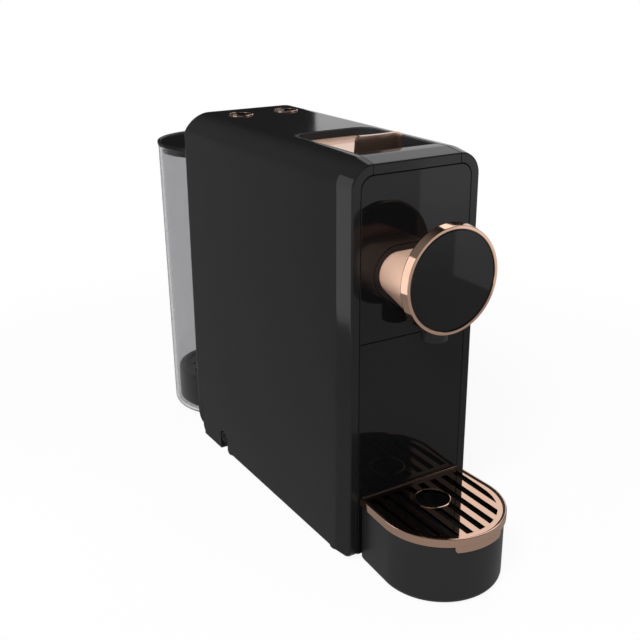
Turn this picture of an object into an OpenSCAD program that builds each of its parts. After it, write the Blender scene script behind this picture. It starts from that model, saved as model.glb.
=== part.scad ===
// Pod coffee machine: slim housing, lever-closed brew unit, round rear water tank,
// and a front drawer that carries the used-pod bin and the drip tray.
// +Z is up and the front faces -Y. The origin is the centre of the footprint.

/* [Housing] */
// Width of the housing
body_w = 105; // [100:1:130]
// Height of the housing above its feet
body_h = 281.5; // [270:0.5:350]
// Depth of the housing from its front panel to its rear edge
body_d = 246; // [240:1:300]
// Wall thickness of the housing
wall = 3; // [2.4:0.1:3.4]
// Radius of the long top edges
top_edge_r = 18; // [10:1:24]
// Radius of the rear top edge
rear_edge_r = 13; // [6:1:16]
// Length over which the front edges draw in
lead_len = 16; // [8:1:20]
// How far the front edges draw in
lead_drop = 2.6; // [1:0.1:3]
// Height of the rubber feet
foot_h = 4.5; // [3:0.5:8]
// Width of the gap at each visible seam
seam = 0.35; // [0.2:0.05:0.6]

/* [Front] */
// Width of the front panels
panel_w = 86.7; // [82:0.1:96]
// Thickness of the front panels
panel_t = 2.6; // [2:0.1:3.4]
// Height of the seam between the two front panels
split_z = 165; // [155:1:175]
// Height of the housing's brow above the upper panel
brow_h = 9.5; // [7:0.5:12]
// Radius of the upper panel's top corners
panel_r = 9; // [4:1:14]

/* [Outlet] */
// Height of the dial's centre
dial_z = 213; // [208:1:218]
// Radius of the dial
dial_r = 36.6; // [32:0.1:38]
// Depth of the dial
dial_t = 7.2; // [5:0.1:10]
// How far the dial stands in front of the panel
dial_reach = 39.6; // [36:0.1:46]
// Radius of the coffee nozzle
nozzle_r = 8.8; // [7:0.1:11]
// Height of the nozzle's tip above the seam of the panels
nozzle_gap = 3.4; // [1.5:0.1:8]

/* [Drip tray] */
// How far the drip tray reaches in front of the panel
tray_reach = 81; // [75:1:110]
// Height of the drip tray's top
tray_h = 52.3; // [45:0.1:60]
// Half width of the tray where it meets the panel
tray_half = 43; // [38:0.5:43]
// Radius of the tray's round front
tray_r = 44.8; // [41:0.1:46]
// Height of the bright band round the tray
band_h = 6; // [4:0.5:8]
// Width of one slot of the grid
slot_w = 5.3; // [3:0.1:6]
// Distance between the slots of the grid
slot_pitch = 10.35; // [9:0.05:11]
// Radius of the hole in the grid
hole_r = 11.7; // [8:0.1:13]

/* [Water tank] */
// Radius of the tank's lid
lid_r = 51; // [44:0.5:56]
// Height of the lid's top above the table
tank_h = 252; // [200:1:262]
// Wall thickness of the tank
tank_wall = 2.4; // [1.8:0.1:3]
// Draft of the tank from top to bottom
tank_draft = 2.2; // [0:0.1:4]
// Height of the dark filter cup inside the tank
cup_h = 38; // [25:1:60]

/* [Lever] */
// Length of the lever from its hinge to its grip
lever_len = 58.5; // [50:0.5:60]
// Width of the lever
lever_w = 38; // [32:0.5:39]
// Height of the grip above the lever plate
grip_h = 11; // [6:0.1:12]
// Opening angle of the lever
lever_angle = 85; // [60:1:86]
// Pitch radius of the lever's gear sectors
sector_r = 20; // [18:0.5:20]

/* [Buttons] */
// Distance of each button from the middle
button_x = 20.3; // [14:0.1:26]
// Depth of the buttons behind the front panel
button_y = 206.5; // [195:0.5:215]
// Radius of a button's bright bezel
bezel_r = 9.8; // [8:0.1:11]

/* [Pod recess] */
// Half width of the recess in the top
recess_half = 33.25; // [32:0.25:36]
// Front edge of the recess
recess_front = 24; // [20:0.5:28]
// Rear edge of the recess
recess_rear = 108.4; // [108:0.1:114]
// Depth of the recess
recess_depth = 19.5; // [17:0.5:20]
// Radius of a pod
pod_r = 18.5; // [16:0.5:19]

/* [Hidden] */
$fn = 64;

eps = 0.01;
body_top = foot_h + body_h;
half_w = body_w / 2;
inner_half = half_w - wall;
inner_top = body_top - wall;
tank_gap = 0.8;
tank_y = body_d + tank_gap + lid_r;
total_len = tray_reach + tank_y + lid_r;
// The front panel's plane, so that the origin lies in the middle of the footprint
front_y = tray_reach - total_len / 2;

panel_half = panel_w / 2;
opening_half = panel_half + seam;
panel_top = body_top - brow_h;
edge_r = 1.2;
foot_r = 7.5;
foot_x = half_w - 9.5;
foot_front = 24;
foot_rear = body_d - 56;

// Outlet section: two upper lobes and one lower lobe
lobe_x = 14.2;
lobe_r = 14.3;
lobe_z = dial_z - 2.7;
tip_r = 15.2;
tip_z = dial_z - 16.1;
collar_w = 4.6;
arm_in = 5;
arm_end = -dial_reach + dial_t;
nozzle_y = -22.4;
nozzle_bottom = split_z + nozzle_gap;
channel_r = 3;
channel_z = tip_z - 5.5;

// Lever, gear sectors and brew unit
recess_floor = body_top - recess_depth;
recess_wall = 1.8;
recess_corner = 13;
lever_t = 3.7;
hinge_y = recess_rear - 7.9;
hinge_z = body_top - 9.5;
hinge_boss_r = 5;
hinge_pin_r = 2;
hinge_clearance = 0.05;
module_size = 2;
sector_x = 22.3;
sector_t = 3.4;
rack_z = hinge_z - sector_r;
carriage_half = 26.3;
frame_half = 26.9;
frame_wall = 3;
carriage_top = rack_z - 3.4;
pod_z = carriage_top - pod_r - 3.5;
carriage_bottom = pod_z - pod_r - 4;
injector_y = recess_rear - 20.2;
pod_gap = 2.2;
carriage_rear = injector_y - pod_gap;
carriage_len = 50;
cup_depth = 28;
rack_end = hinge_y + sector_r * lever_angle * PI / 180 + 8;
funnel_top = carriage_bottom - 1.2;
deck_z = funnel_top - 10.5;

// Chassis and drawer
chassis_gap = 0.5;
chassis_half = inner_half - chassis_gap;
base_t = 3.5;
base_top = foot_h + base_t;
base_rear = body_d - 10;
post_in = opening_half - 3.2;
post_d = 5.4;
bin_half = post_in - 1.5;
bin_wall = 2;
bin_len = recess_rear - 6;
bin_bottom = base_top + 0.4;
bin_top = split_z - 5;
partition_y = bin_len + 3.5;
partition_t = 3;
shelf_z = 84;
shelf_t = 3;
tray_gap = 0.4;
tray_bottom = 1;
tray_wall = 2.2;
tray_corner = 5;
band_t = 1.1;
grid_t = 2.2;
slot_count = 8;
slot_margin = 6.2;
ring_w = 1.6;
hole_y = -27;

// Buttons and their board
bezel_t = 0.8;
button_r = bezel_r - 1.9;
button_travel = 1.8;
collar_z = body_top - 10;
board_top = body_top - 22;
board_t = 1.6;
switch_h = 2.4;
stem_end = board_top + switch_h + button_travel + 0.2;

// Rear cover, dock and tank
cover_t = 2.5;
cover_y = body_d - wall - cover_t;
tab_depth = 9.5;
tab_top = foot_h + 25;
// The corners below them are cut away in two round steps
tab_foot = foot_h + 7;
tab_round = 12;
corner_r = 6;
dock_half = 22;
dock_t = 4;
dock_bottom = 1;
dock_end = tank_y + 4;
nipple_y = tank_y - 12;
nipple_r = 4;
tank_bottom = 1.2;
tank_top = tank_h - 3.5;
tank_top_r = lid_r - 0.7;
tank_low_r = tank_top_r - tank_draft;
tank_corner = 7;
bump_half = dock_half + 1;
bump_top = dock_bottom + dock_t + 0.6;
bump_wall = 2;

// Water and electric parts
pump_r = 18;
pump_y = partition_y + 26;
pump_len = 58;
pump_z = base_top + 6 + pump_r;
meter_r = 11;
meter_x = -27;
meter_y = base_rear - 24;
meter_h = 18;
meter_top = base_top + meter_h + 8;
boiler_y = partition_y + 40;
boiler_len = 56;
boiler_half = 24;
boiler_h = 58;
boiler_base = shelf_z + shelf_t + 6;
hose_r = 3;
barb_r = 3;
dock_barb_z = base_top + 12;
gland_y = foot_rear + 5;
gland_z = base_top + 7.1;
gland_r = 7;
gland_neck_r = 4.6;
gland_out = 0.3 - half_w;
gland_in = 14 - chassis_half;

// ---- outlines ----

function arc(c, r, from, to, steps = 10) =
    [for (i = [0:steps]) let (a = from + (to - from) * i / steps) c + r * [cos(a), sin(a)]];

// A rectangle with its top corners rounded
function arch_points(half, low, high, r) = concat(
    [[half, low]], arc([half - r, high - r], r, 0, 90), arc([-half + r, high - r], r, 90, 180),
    [[-half, low]]);

// How far an edge has drawn in at a distance from the front
function drawn_in(d) = let (along = max(0, 1 - d / lead_len))
    lead_drop * (along < 0.12 ? along * along / 0.24 : along - 0.06);

// Points of an edge that draws in towards the front: [distance from front, inset]
lead_steps = 8;
lead_points = [for (i = [0:lead_steps])
    let (d = lead_len + (edge_r - lead_len) * i / lead_steps) [d, drawn_in(d)]];
front_inset = drawn_in(edge_r) + edge_r;

// The housing from above
function plan_points() = concat(
    [for (p = lead_points) [half_w - p[1], p[0]]], [[half_w - front_inset, 0]],
    [[front_inset - half_w, 0]],
    [for (i = [lead_steps:-1:0]) [lead_points[i][1] - half_w, lead_points[i][0]]],
    [[-half_w, body_d], [half_w, body_d]]);

// The housing from the side, as [y, z]
low_edge_r = 5;
function side_points() = concat(
    [[0, foot_h + low_edge_r]], [[0, body_top - front_inset]],
    [for (i = [lead_steps:-1:0]) [lead_points[i][0], body_top - lead_points[i][1]]],
    arc([body_d - rear_edge_r, body_top - rear_edge_r], rear_edge_r, 90, 0),
    [[body_d, foot_h]], arc([low_edge_r, foot_h + low_edge_r], low_edge_r, 270, 180));

// The outlet arm's section, grown outwards, as [x, z]
function outlet_points(grow) =
    let (reach = norm([lobe_x, lobe_z - tip_z]),
         slope = atan2(lobe_z - tip_z, lobe_x) - acos((tip_r - lobe_r) / reach))
    concat(arc([lobe_x, lobe_z], lobe_r + grow, slope, 90, 14),
        arc([-lobe_x, lobe_z], lobe_r + grow, 90, 180 - slope, 14),
        arc([0, tip_z], tip_r + grow, 180 - slope, 360 + slope, 14));

// The tray's outline from above, moved inwards
function tray_points(inset) =
    let (half = tray_half - inset, back = -tray_gap - inset, r = tray_r - inset,
         centre = [0, tray_r - tray_reach], corner = [half, back] - centre,
         turn = atan2(corner[1], corner[0]) - acos(min(1, r / norm(corner))))
    concat([[half, back]], arc(centre, r, turn, -180 - turn, 40), [[-half, back]]);

// ---- helpers ----

module extrude_y(low, high) {
    translate([0, high, 0]) rotate([90, 0, 0]) linear_extrude(high - low) children();
}

module extrude_x(low, high) {
    translate([low, 0, 0]) rotate([90, 0, 90]) linear_extrude(high - low) children();
}

module extrude_z(low, high) {
    translate([0, 0, low]) linear_extrude(high - low) children();
}

module block(x, y, z) {
    translate([x[0], y[0], z[0]]) cube([x[1] - x[0], y[1] - y[0], z[1] - z[0]]);
}

module rod_x(r, x, y, z) {
    translate([x[0], y, z]) rotate([0, 90, 0]) cylinder(r = r, h = x[1] - x[0]);
}

module rod_y(r, x, y, z) {
    translate([x, y[1], z]) rotate([90, 0, 0]) cylinder(r = r, h = y[1] - y[0]);
}

module rod_z(r, x, y, z) {
    translate([x, y, z[0]]) cylinder(r = r, h = z[1] - z[0]);
}

module both_sides() {
    children();
    mirror([1, 0, 0]) children();
}

// A point of the smooth curve through four points
function curve_point(a, b, c, d, t) =
    0.5 * (2 * b + (c - a) * t + (2 * a - 5 * b + 4 * c - d) * t * t
        + (3 * b - a - 3 * c + d) * t * t * t);

function unit(v) = v / norm(v);

// Side vectors carried along a path without twist
function carried(path, i, side) =
    i == len(path) ? [] :
    let (t = unit(path[min(i + 1, len(path) - 1)] - path[max(i - 1, 0)]),
         s = unit(side - (side * t) * t))
    concat([[t, s]], carried(path, i + 1, s));

// A tube of flat sides swept along a path
module tube(path, r, sides = 8, first_side = [1, 0, 0]) {
    n = len(path);
    frames = carried(path, 0, first_side);
    points = [for (i = [0:n - 1], k = [0:sides - 1])
        let (a = 360 * k / sides, t = frames[i][0], s = frames[i][1])
        path[i] + r * (cos(a) * s + sin(a) * cross(t, s))];
    skin = [for (i = [0:n - 2], k = [0:sides - 1])
        let (a = i * sides + k, b = i * sides + (k + 1) % sides)
        [a, a + sides, b + sides, b]];
    caps = [[for (k = [0:sides - 1]) k], [for (k = [sides - 1:-1:0]) (n - 1) * sides + k]];
    polyhedron(points = points, faces = concat(skin, caps), convexity = 6);
}

// Moves the machine from its front plane to the row's origin
module stand() {
    translate([0, front_y, 0]) children();
}

// ---- housing ----

module recess_shape(inset) {
    half = recess_half - inset;
    polygon(concat([[half, recess_front + inset]],
        arc([half - recess_corner, recess_rear - inset - recess_corner], recess_corner, 0, 90),
        arc([recess_corner - half, recess_rear - inset - recess_corner], recess_corner, 90, 180),
        [[-half, recess_front + inset]]));
}

notch_half = 6.5;
module housing_shell() color("#26262a") {
    difference() {
        intersection() {
            extrude_y(0, body_d) polygon(arch_points(half_w, foot_h, body_top, top_edge_r));
            extrude_z(foot_h, body_top) polygon(plan_points());
            extrude_x(-half_w, half_w) polygon(side_points());
        }
        // hollow inside, open below
        intersection() {
            extrude_y(panel_t, body_d - wall)
                polygon(arch_points(inner_half, foot_h - 1, inner_top, top_edge_r - wall));
            extrude_x(-half_w, half_w) polygon(concat(
                [[panel_t, foot_h - 1], [panel_t, inner_top]],
                arc([body_d - rear_edge_r, body_top - rear_edge_r], rear_edge_r - wall, 90, 0),
                [[body_d - wall, foot_h - 1]]));
        }
        // front opening for the panels
        extrude_y(-1, panel_t + 1)
            polygon(arch_points(opening_half, foot_h - 1, panel_top + seam, panel_r + seam));
        // gap for the brow
        extrude_z(panel_top - 2, body_top + 1) polygon(brow_points(seam));
        extrude_z(inner_top - 1, body_top + 1) recess_shape(0);
        // rear opening
        block([-inner_half + 4, inner_half - 4], [body_d - wall - 1, body_d + 1],
            [foot_h - 1, body_top - rear_edge_r - 6]);
        both_sides() rod_z(bezel_r - bezel_t, button_x, button_y, [inner_top - 1, body_top + 1]);
        // lower rear corners, filled by the rear cover
        block([-half_w - 1, half_w + 1], [body_d - tab_depth, body_d + 1], [foot_h - 1, tab_top]);
        extrude_x(-half_w - 1, half_w + 1) translate([body_d - tab_depth, foot_h]) polygon(concat(
            arc([-corner_r, corner_r], corner_r, 270, 360, 8), [[1, corner_r], [1, -1], [-corner_r, -1]]));
        // cord notch on the left side
        extrude_x(-half_w - 1, -inner_half + 1) translate([gland_y, 0])
            polygon(arch_points(notch_half, foot_h - 1, foot_h + 16, notch_half - 0.5));
    }
    // bosses that hold the switch board
    for (x = [-1, 1] * (button_x + 14), y = [-1, 1] * 11)
        rod_z(3, x, button_y + y, [board_top, inner_top + eps]);
}

// The brow from above, wider at the front, grown sideways
brow_flare = 1.4;
function brow_points(grow) =
    let (front = recess_half + brow_flare + grow, back = recess_half + grow, deep = recess_front)
    [[front, -1], [front, 0], [back, deep + eps], [-back, deep + eps], [-front, 0], [-front, -1]];

module brow_cover() color("#2a2a2e") {
    half = recess_half + brow_flare;
    difference() {
        intersection() {
            extrude_x(-half, half) polygon(side_points());
            extrude_z(recess_floor, body_top) polygon(brow_points(0));
            block([-half, half], [0, recess_front], [recess_floor + 3, body_top]);
        }
        block([-half - 1, half + 1], [panel_t, recess_front - panel_t],
            [recess_floor, body_top - wall]);
        block([-half - 1, half + 1], [-1, panel_t + eps], [recess_floor, panel_top + seam]);
    }
}

module upper_front_panel() color("#1c1c1f") {
    difference() {
        extrude_y(0, panel_t) polygon(arch_points(panel_half, split_z + seam, panel_top, panel_r));
        extrude_y(-1, panel_t + 1) polygon(outlet_points(collar_w + 0.1));
    }
}

module rear_cover() color("#242427") {
    difference() {
        union() {
            extrude_y(cover_y, cover_y + cover_t)
                polygon(arch_points(inner_half - 0.2, base_top + 2, body_top - rear_edge_r - 2, 8));
            // tabs that close the housing's lower rear corners
            both_sides() extrude_x(inner_half - 0.3, half_w) polygon(concat(
                [[body_d, tab_top - seam], [body_d - tab_depth + seam, tab_top - seam]],
                [for (a = [0:9:90]) [body_d - (tab_depth - seam) * (1 - sin(a)),
                    tab_foot + tab_round * (1 - cos(a))]]));
        }
        // passage for the dock
        block([-14, 14], [cover_y - 1, cover_y + cover_t + 1], [0, base_top + 6]);
        both_sides() rod_y(1.7, screw_x, [cover_y - 1, body_d], screw_z);
        // air slots
        for (i = [0:6])
            block([-20, 20], [cover_y - 1, body_d], [150 + 8 * i, 153 + 8 * i]);
    }
}

screw_x = 40;
screw_z = 60;
module rear_screws() color("#8c8c90") {
    both_sides() {
        rod_y(1.5, screw_x, [cover_y - 8, cover_y + cover_t + eps], screw_z);
        difference() {
            rod_y(3, screw_x, [cover_y + cover_t, cover_y + cover_t + 1.8], screw_z);
            rod_y(1.2, screw_x, [cover_y + cover_t + 0.8, cover_y + cover_t + 3], screw_z);
        }
    }
}

// ---- chassis ----

module chassis() color("#4a4a50") {
    difference() {
        union() {
            block([-chassis_half, chassis_half], [panel_t, base_rear], [foot_h, base_top]);
            // skid under the rear of the housing
            block([-half_w + 1, half_w - 1], [body_d - 43, base_rear], [1, foot_h]);
            // front posts behind the housing's rim
            both_sides() block([post_in, chassis_half], [panel_t, panel_t + post_d],
                [foot_h, recess_floor - 8]);
            // partition behind the pod bin
            block([-chassis_half, chassis_half], [partition_y, partition_y + partition_t],
                [foot_h, deck_z]);
            // ledges for the brew frame
            both_sides() block([frame_half + frame_wall + 1, chassis_half],
                [panel_t, partition_y + eps], [deck_z - 3, deck_z]);
            // shelf over the pump
            block([-chassis_half, chassis_half], [partition_y, cover_y - 1],
                [shelf_z, shelf_z + shelf_t]);
            // rib that carries the control board
            block([-chassis_half, board_x - 3], [partition_y + 18, cover_y - 8],
                [shelf_z, board_z[1] + 5]);
            for (y = board_y + [5, -5], z = board_z + [5, -5])
                rod_x(3, [board_x - 3 - eps, board_x], y, z);
            // screw posts for the rear cover
            both_sides() rod_y(4, screw_x, [cover_y - 20, cover_y], screw_z);
            both_sides() block([screw_x - 4, chassis_half], [cover_y - 20, cover_y - 12],
                [foot_h, shelf_z + 1]);
        }
        both_sides() rod_y(1.5, screw_x, [cover_y - 8, cover_y + 1], screw_z);
        // hose passages
        rod_y(6, -20, [partition_y - 1, partition_y + partition_t + 1], 70);
        block([14, 34], [pump_y - 8, pump_y + 4], [shelf_z - 1, shelf_z + shelf_t + 1]);
        // relief round the front feet screws
        for (x = [-1, 1] * foot_x, y = [foot_front, foot_rear])
            rod_z(1.6, x, y, [foot_h - 1, base_top + 1]);
    }
}

module feet() color("#161618") {
    for (x = [-1, 1] * foot_x, y = [foot_front, foot_rear]) {
        rod_z(foot_r, x, y, [0, foot_h]);
        rod_z(1.5, x, y, [foot_h - eps, base_top]);
    }
}

// ---- recess, lever and gears ----

module inlet_tray() color("#1d1d20") {
    difference() {
        union() {
            difference() {
                extrude_z(recess_floor - 2, body_top - 0.3) recess_shape(0.25);
                extrude_z(recess_floor, body_top + 1) recess_shape(0.25 + recess_wall);
            }
            // bearing ears
            both_sides() block([sector_x + sector_t + 1, recess_half - recess_wall],
                [hinge_y - 4.5, recess_rear - recess_wall - 0.2],
                [recess_floor - eps, hinge_z + 4]);
        }
        // pod slot
        block([-pod_r - 1, pod_r + 1], [carriage_rear - 30, injector_y - 1],
            [recess_floor - 3, recess_floor + 1]);
        // the wall under the brow stays inside it
        block([-recess_half, recess_half], [recess_front - 1, recess_front + recess_wall],
            [recess_floor + 2.8, body_top + 1]);
        // clearance for the gear sectors
        both_sides() block([sector_x - 0.6, sector_x + sector_t + 0.6],
            [hinge_y - sector_r - 4, recess_rear + 1], [recess_floor - 3, hinge_z + 4]);
        rod_x(hinge_pin_r + hinge_clearance, [-half_w, half_w], hinge_y, hinge_z);
    }
}

grip_t = 3.4;
grip_front = hinge_y - lever_len;
module lever() color("#c89480") {
    plate_top = hinge_z + hinge_boss_r + 0.1;
    difference() {
        union() {
            block([-lever_w / 2, lever_w / 2], [grip_front + 0.5, hinge_y],
                [plate_top - lever_t, plate_top]);
            rod_x(hinge_boss_r, [-lever_w / 2, lever_w / 2], hinge_y, hinge_z);
            // upright grip with rounded upper corners
            extrude_y(grip_front, grip_front + grip_t) polygon(concat(
                [[-lever_w / 2, plate_top - lever_t], [lever_w / 2, plate_top - lever_t],
                 [lever_w / 2 - 0.4, plate_top]],
                arc([lever_w / 2 - 4.4, plate_top + grip_h - 3.5], 3.5, 10, 90, 6),
                arc([4.4 - lever_w / 2, plate_top + grip_h - 3.5], 3.5, 90, 170, 6),
                [[0.4 - lever_w / 2, plate_top]]));
        }
        rod_x(hinge_pin_r, [-lever_w, lever_w], hinge_y, hinge_z);
    }
}

module hinge_pin() color("#b8b8bc") {
    rod_x(hinge_pin_r, [-recess_half + recess_wall + 0.8, recess_half - recess_wall - 0.8],
        hinge_y, hinge_z);
}

// One tooth that points along -Y in 2D, with its pitch point at the given radius
tooth_pitch = PI * module_size;
tooth_half = tooth_pitch / 4 - 0.35;
tooth_lean = 0.6;
tooth_tip = module_size * 0.8;
tooth_root = module_size + 0.6;
function tooth_points(r) = [
    [-tooth_half - tooth_lean, -r + tooth_root], [-tooth_half + tooth_lean, -r - tooth_tip],
    [tooth_half - tooth_lean, -r - tooth_tip], [tooth_half + tooth_lean, -r + tooth_root]];

tooth_angle = tooth_pitch / sector_r * 180 / PI;
sector_teeth = ceil(lever_angle / tooth_angle) + 1;
module gear_sectors() color("#9a9a9e") {
    root = sector_r - module_size;
    both_sides() difference() {
        union() {
            extrude_x(sector_x, sector_x + sector_t) translate([hinge_y, hinge_z]) {
                polygon(concat([[0, 0]],
                    arc([0, 0], root, -90 - tooth_angle, tooth_angle * (sector_teeth - 0.5) - 90, 24)));
                for (i = [0:sector_teeth - 1])
                    rotate(tooth_angle * i) polygon(tooth_points(sector_r));
            }
            rod_x(hinge_boss_r - 0.5, [lever_w / 2, sector_x + sector_t], hinge_y, hinge_z);
        }
        rod_x(hinge_pin_r, [0, half_w], hinge_y, hinge_z);
    }
}

module cup_carriage() color("#5a5a60") {
    front = carriage_rear - carriage_len;
    difference() {
        union() {
            block([-carriage_half, carriage_half], [front, carriage_rear],
                [carriage_bottom, carriage_top]);
            both_sides() block([sector_x - 0.4, sector_x + sector_t + 0.6], [front, rack_end],
                [rack_z - 8, rack_z - module_size]);
            // rack teeth, set half a pitch off the sector's teeth
            both_sides() extrude_x(sector_x, sector_x + sector_t)
                for (y = [hinge_y - 1.5 * tooth_pitch:tooth_pitch:rack_end - 2])
                    translate([y, rack_z]) mirror([0, 1]) polygon(tooth_points(0));
        }
        rod_y(pod_r, 0, [carriage_rear - cup_depth, carriage_rear + 1], pod_z);
        // drain into the funnel
        rod_z(channel_r, 0, carriage_rear - cup_depth + 5, [carriage_bottom - 1, pod_z]);
    }
}

module injector_head() color("#6a6a70") {
    difference() {
        union() {
            block([-frame_half, frame_half], [injector_y, injector_y + 14],
                [carriage_bottom, rack_z - 9]);
            for (x = [-5, 0, 5]) rod_y(1.1, x, [injector_y - 2, injector_y + eps], pod_z);
            rod_y(barb_r, 0, [injector_y + 14 - eps, injector_y + 22], pod_z);
        }
        rod_y(1.5, 0, [injector_y + 4, injector_y + 23], pod_z);
    }
}

module brew_frame() color("#505056") {
    both_sides() {
        block([frame_half, frame_half + frame_wall], [panel_t + post_d, rack_end + 2],
            [deck_z, recess_floor - 2]);
        block([frame_half, chassis_half - 1], [panel_t + post_d + 0.5, partition_y - 1],
            [deck_z, deck_z + 3]);
    }
    // rear tie between the two side plates, below the racks
    block([-frame_half - eps, frame_half + eps], [rack_end - 2, rack_end + 2],
        [deck_z, pod_z - 12]);
}

module coffee_funnel() color("#3a3a3e") {
    front = panel_t + post_d;
    difference() {
        union() {
            block([-frame_half, frame_half], [front, carriage_rear - cup_depth + 12],
                [deck_z, funnel_top]);
            rod_z(5, 0, front + 9, [channel_z, deck_z + eps]);
            rod_y(4.6, 0, [arm_in, front + 9], channel_z);
        }
        block([-frame_half + 2, frame_half - 2], [front + 2, carriage_rear - cup_depth + 10],
            [deck_z + 3, funnel_top + 1]);
        rod_z(channel_r, 0, front + 9, [channel_z, funnel_top]);
        rod_y(channel_r, 0, [arm_in - 1, front + 9], channel_z);
    }
}

// ---- outlet and dial ----

module outlet_collar() color("#1c1c1f") {
    extrude_y(0, arm_in) difference() {
        polygon(outlet_points(collar_w));
        polygon(outlet_points(0.1));
    }
}

module outlet_arm() color("#d8a590") {
    difference() {
        extrude_y(arm_end, arm_in) polygon(outlet_points(0));
        rod_z(nozzle_r + 0.1, 0, nozzle_y, [0, channel_z - channel_r - 1]);
        rod_z(channel_r, 0, nozzle_y, [channel_z - channel_r - 2, channel_z]);
        rod_y(channel_r, 0, [nozzle_y, arm_in + 1], channel_z);
    }
}

module coffee_nozzle() color("#1a1a1c") {
    nozzle_top = channel_z - channel_r - 1;
    difference() {
        rod_z(nozzle_r, 0, nozzle_y, [nozzle_bottom, nozzle_top]);
        rod_z(channel_r, 0, nozzle_y, [nozzle_bottom - 1, nozzle_top + 1]);
        rod_z(nozzle_r - 2.5, 0, nozzle_y, [nozzle_bottom - 1, nozzle_bottom + 5]);
    }
}

dial_taper = 1;
dial_lip = 2.2;
dial_back = 2;
dial_recess = 0.4;
face_r = dial_r - dial_taper - dial_lip - 0.1;
module dial_rim() color("#d8a590") {
    difference() {
        translate([0, -dial_reach, dial_z]) rotate([-90, 0, 0])
            cylinder(r1 = dial_r - dial_taper, r2 = dial_r, h = dial_t);
        rod_y(face_r + 0.1, 0, [-dial_reach - 1, arm_end - dial_back], dial_z);
    }
}

module dial_face() color("#1a1a1d") {
    rod_y(face_r, 0, [-dial_reach + dial_recess, arm_end - dial_back], dial_z);
}

// ---- buttons ----

module bezel() {
    difference() {
        union() {
            rod_z(bezel_r - bezel_t - 0.05, 0, button_y, [collar_z + 4.5, body_top + eps]);
            rod_z(bezel_r, 0, button_y, [body_top, body_top + bezel_t]);
        }
        rod_z(button_r + 0.3, 0, button_y, [collar_z, body_top + 2]);
    }
}

module button() {
    difference() {
        union() {
            rod_z(button_r, 0, button_y, [collar_z, body_top + 0.2]);
            rod_z(button_r + 1.2, 0, button_y, [collar_z, collar_z + 2]);
            rod_z(2.5, 0, button_y, [stem_end, collar_z + eps]);
        }
        // dished top
        translate([0, button_y, body_top + 22.8]) sphere(r = 24);
    }
}

// Coil spring between the board and the button's collar
spring_turns = 4;
spring_r = 4.6;
wire_r = 0.45;
module spring() {
    low = board_top + wire_r + 0.05;
    rise = collar_z - wire_r - 0.05 - low;
    steps = 14 * spring_turns;
    translate([0, button_y, 0])
        tube([for (i = [0:steps]) let (a = 360 * spring_turns * i / steps)
            [spring_r * cos(a), spring_r * sin(a), low + rise * i / steps]], wire_r, 6);
}

module button_left() color("#18181a") translate([-button_x, 0, 0]) button();
module button_right() color("#18181a") translate([button_x, 0, 0]) button();
module bezel_left() color("#d8a590") translate([-button_x, 0, 0]) bezel();
module bezel_right() color("#d8a590") translate([button_x, 0, 0]) bezel();
module spring_left() color("#b0b0b4") translate([-button_x, 0, 0]) spring();
module spring_right() color("#b0b0b4") translate([button_x, 0, 0]) spring();

module switch_board() color("#2c6b45") {
    block([-button_x - 18, button_x + 18], [button_y - 15, button_y + 15],
        [board_top - board_t, board_top]);
    for (x = [-1, 1] * button_x)
        block([x - 2.9, x + 2.9], [button_y - 2.9, button_y + 2.9],
            [board_top - eps, board_top + switch_h]);
}

// ---- drawer: pod bin, panel and drip tray ----

hook_x = 20;
hook_w = 6;
hook_z = 34;
module pod_bin() color("#2c2c30") {
    difference() {
        block([-bin_half, bin_half], [panel_t - 0.3, bin_len], [bin_bottom, bin_top]);
        block([-bin_half + bin_wall, bin_half - bin_wall],
            [panel_t + bin_wall, bin_len - bin_wall], [bin_bottom + bin_wall, bin_top + 1]);
    }
}

module lower_front_panel() color("#1c1c1f") {
    difference() {
        block([-panel_half, panel_half], [0, panel_t - 0.3], [foot_h + 1, split_z]);
        both_sides() block([hook_x - 0.2, hook_x + hook_w + 0.2], [-1, panel_t],
            [hook_z - 0.2, hook_z + hook_w + 0.2]);
    }
}

module drip_tray() color("#222225") {
    outer = band_t + 0.2;
    difference() {
        union() {
            // rounded lower edge
            for (i = [0:4]) let (a = 90 * i / 5, b = 90 * (i + 1) / 5)
                extrude_z(tray_bottom + tray_corner * (1 - cos(a)), tray_bottom + tray_corner + eps)
                    polygon(tray_points(outer + tray_corner * (1 - sin(b))));
            extrude_z(tray_bottom + tray_corner, tray_h - 3.3) polygon(tray_points(outer));
            both_sides() block([hook_x, hook_x + hook_w], [-tray_gap - outer - 1, panel_t - 0.5],
                [hook_z, hook_z + hook_w]);
        }
        extrude_z(tray_bottom + tray_wall + 1, tray_h)
            polygon(tray_points(outer + tray_wall + 1.5));
        extrude_z(tray_bottom + tray_corner, tray_h) polygon(tray_points(outer + tray_wall));
    }
}

tab_h = 4.5;
tab_half = 19.5;
module tray_band() color("#d8a590") {
    extrude_z(tray_h - band_h, tray_h) difference() {
        polygon(tray_points(0));
        polygon(tray_points(band_t));
    }
    extrude_z(tray_h - 3.1, tray_h) difference() {
        polygon(tray_points(band_t - eps));
        polygon(tray_points(band_t + 1.1));
    }
    // pull tab that hangs below the band at the front
    intersection() {
        extrude_z(tray_h - band_h - tab_h, tray_h - band_h + eps) difference() {
            polygon(tray_points(0));
            polygon(tray_points(band_t));
        }
        extrude_y(-tray_reach, tray_r * cos(60) - tray_reach) translate([-tab_half, 0])
            polygon(arch_points_low(2 * tab_half, tray_h - band_h - tab_h, tray_h, 2));
    }
}

// A rectangle from 0 to its width with its lower corners rounded
function arch_points_low(width, low, high, r) = concat(
    arc([r, low + r], r, 180, 270, 5), arc([width - r, low + r], r, 270, 360, 5),
    [[width, high], [0, high]]);

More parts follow.
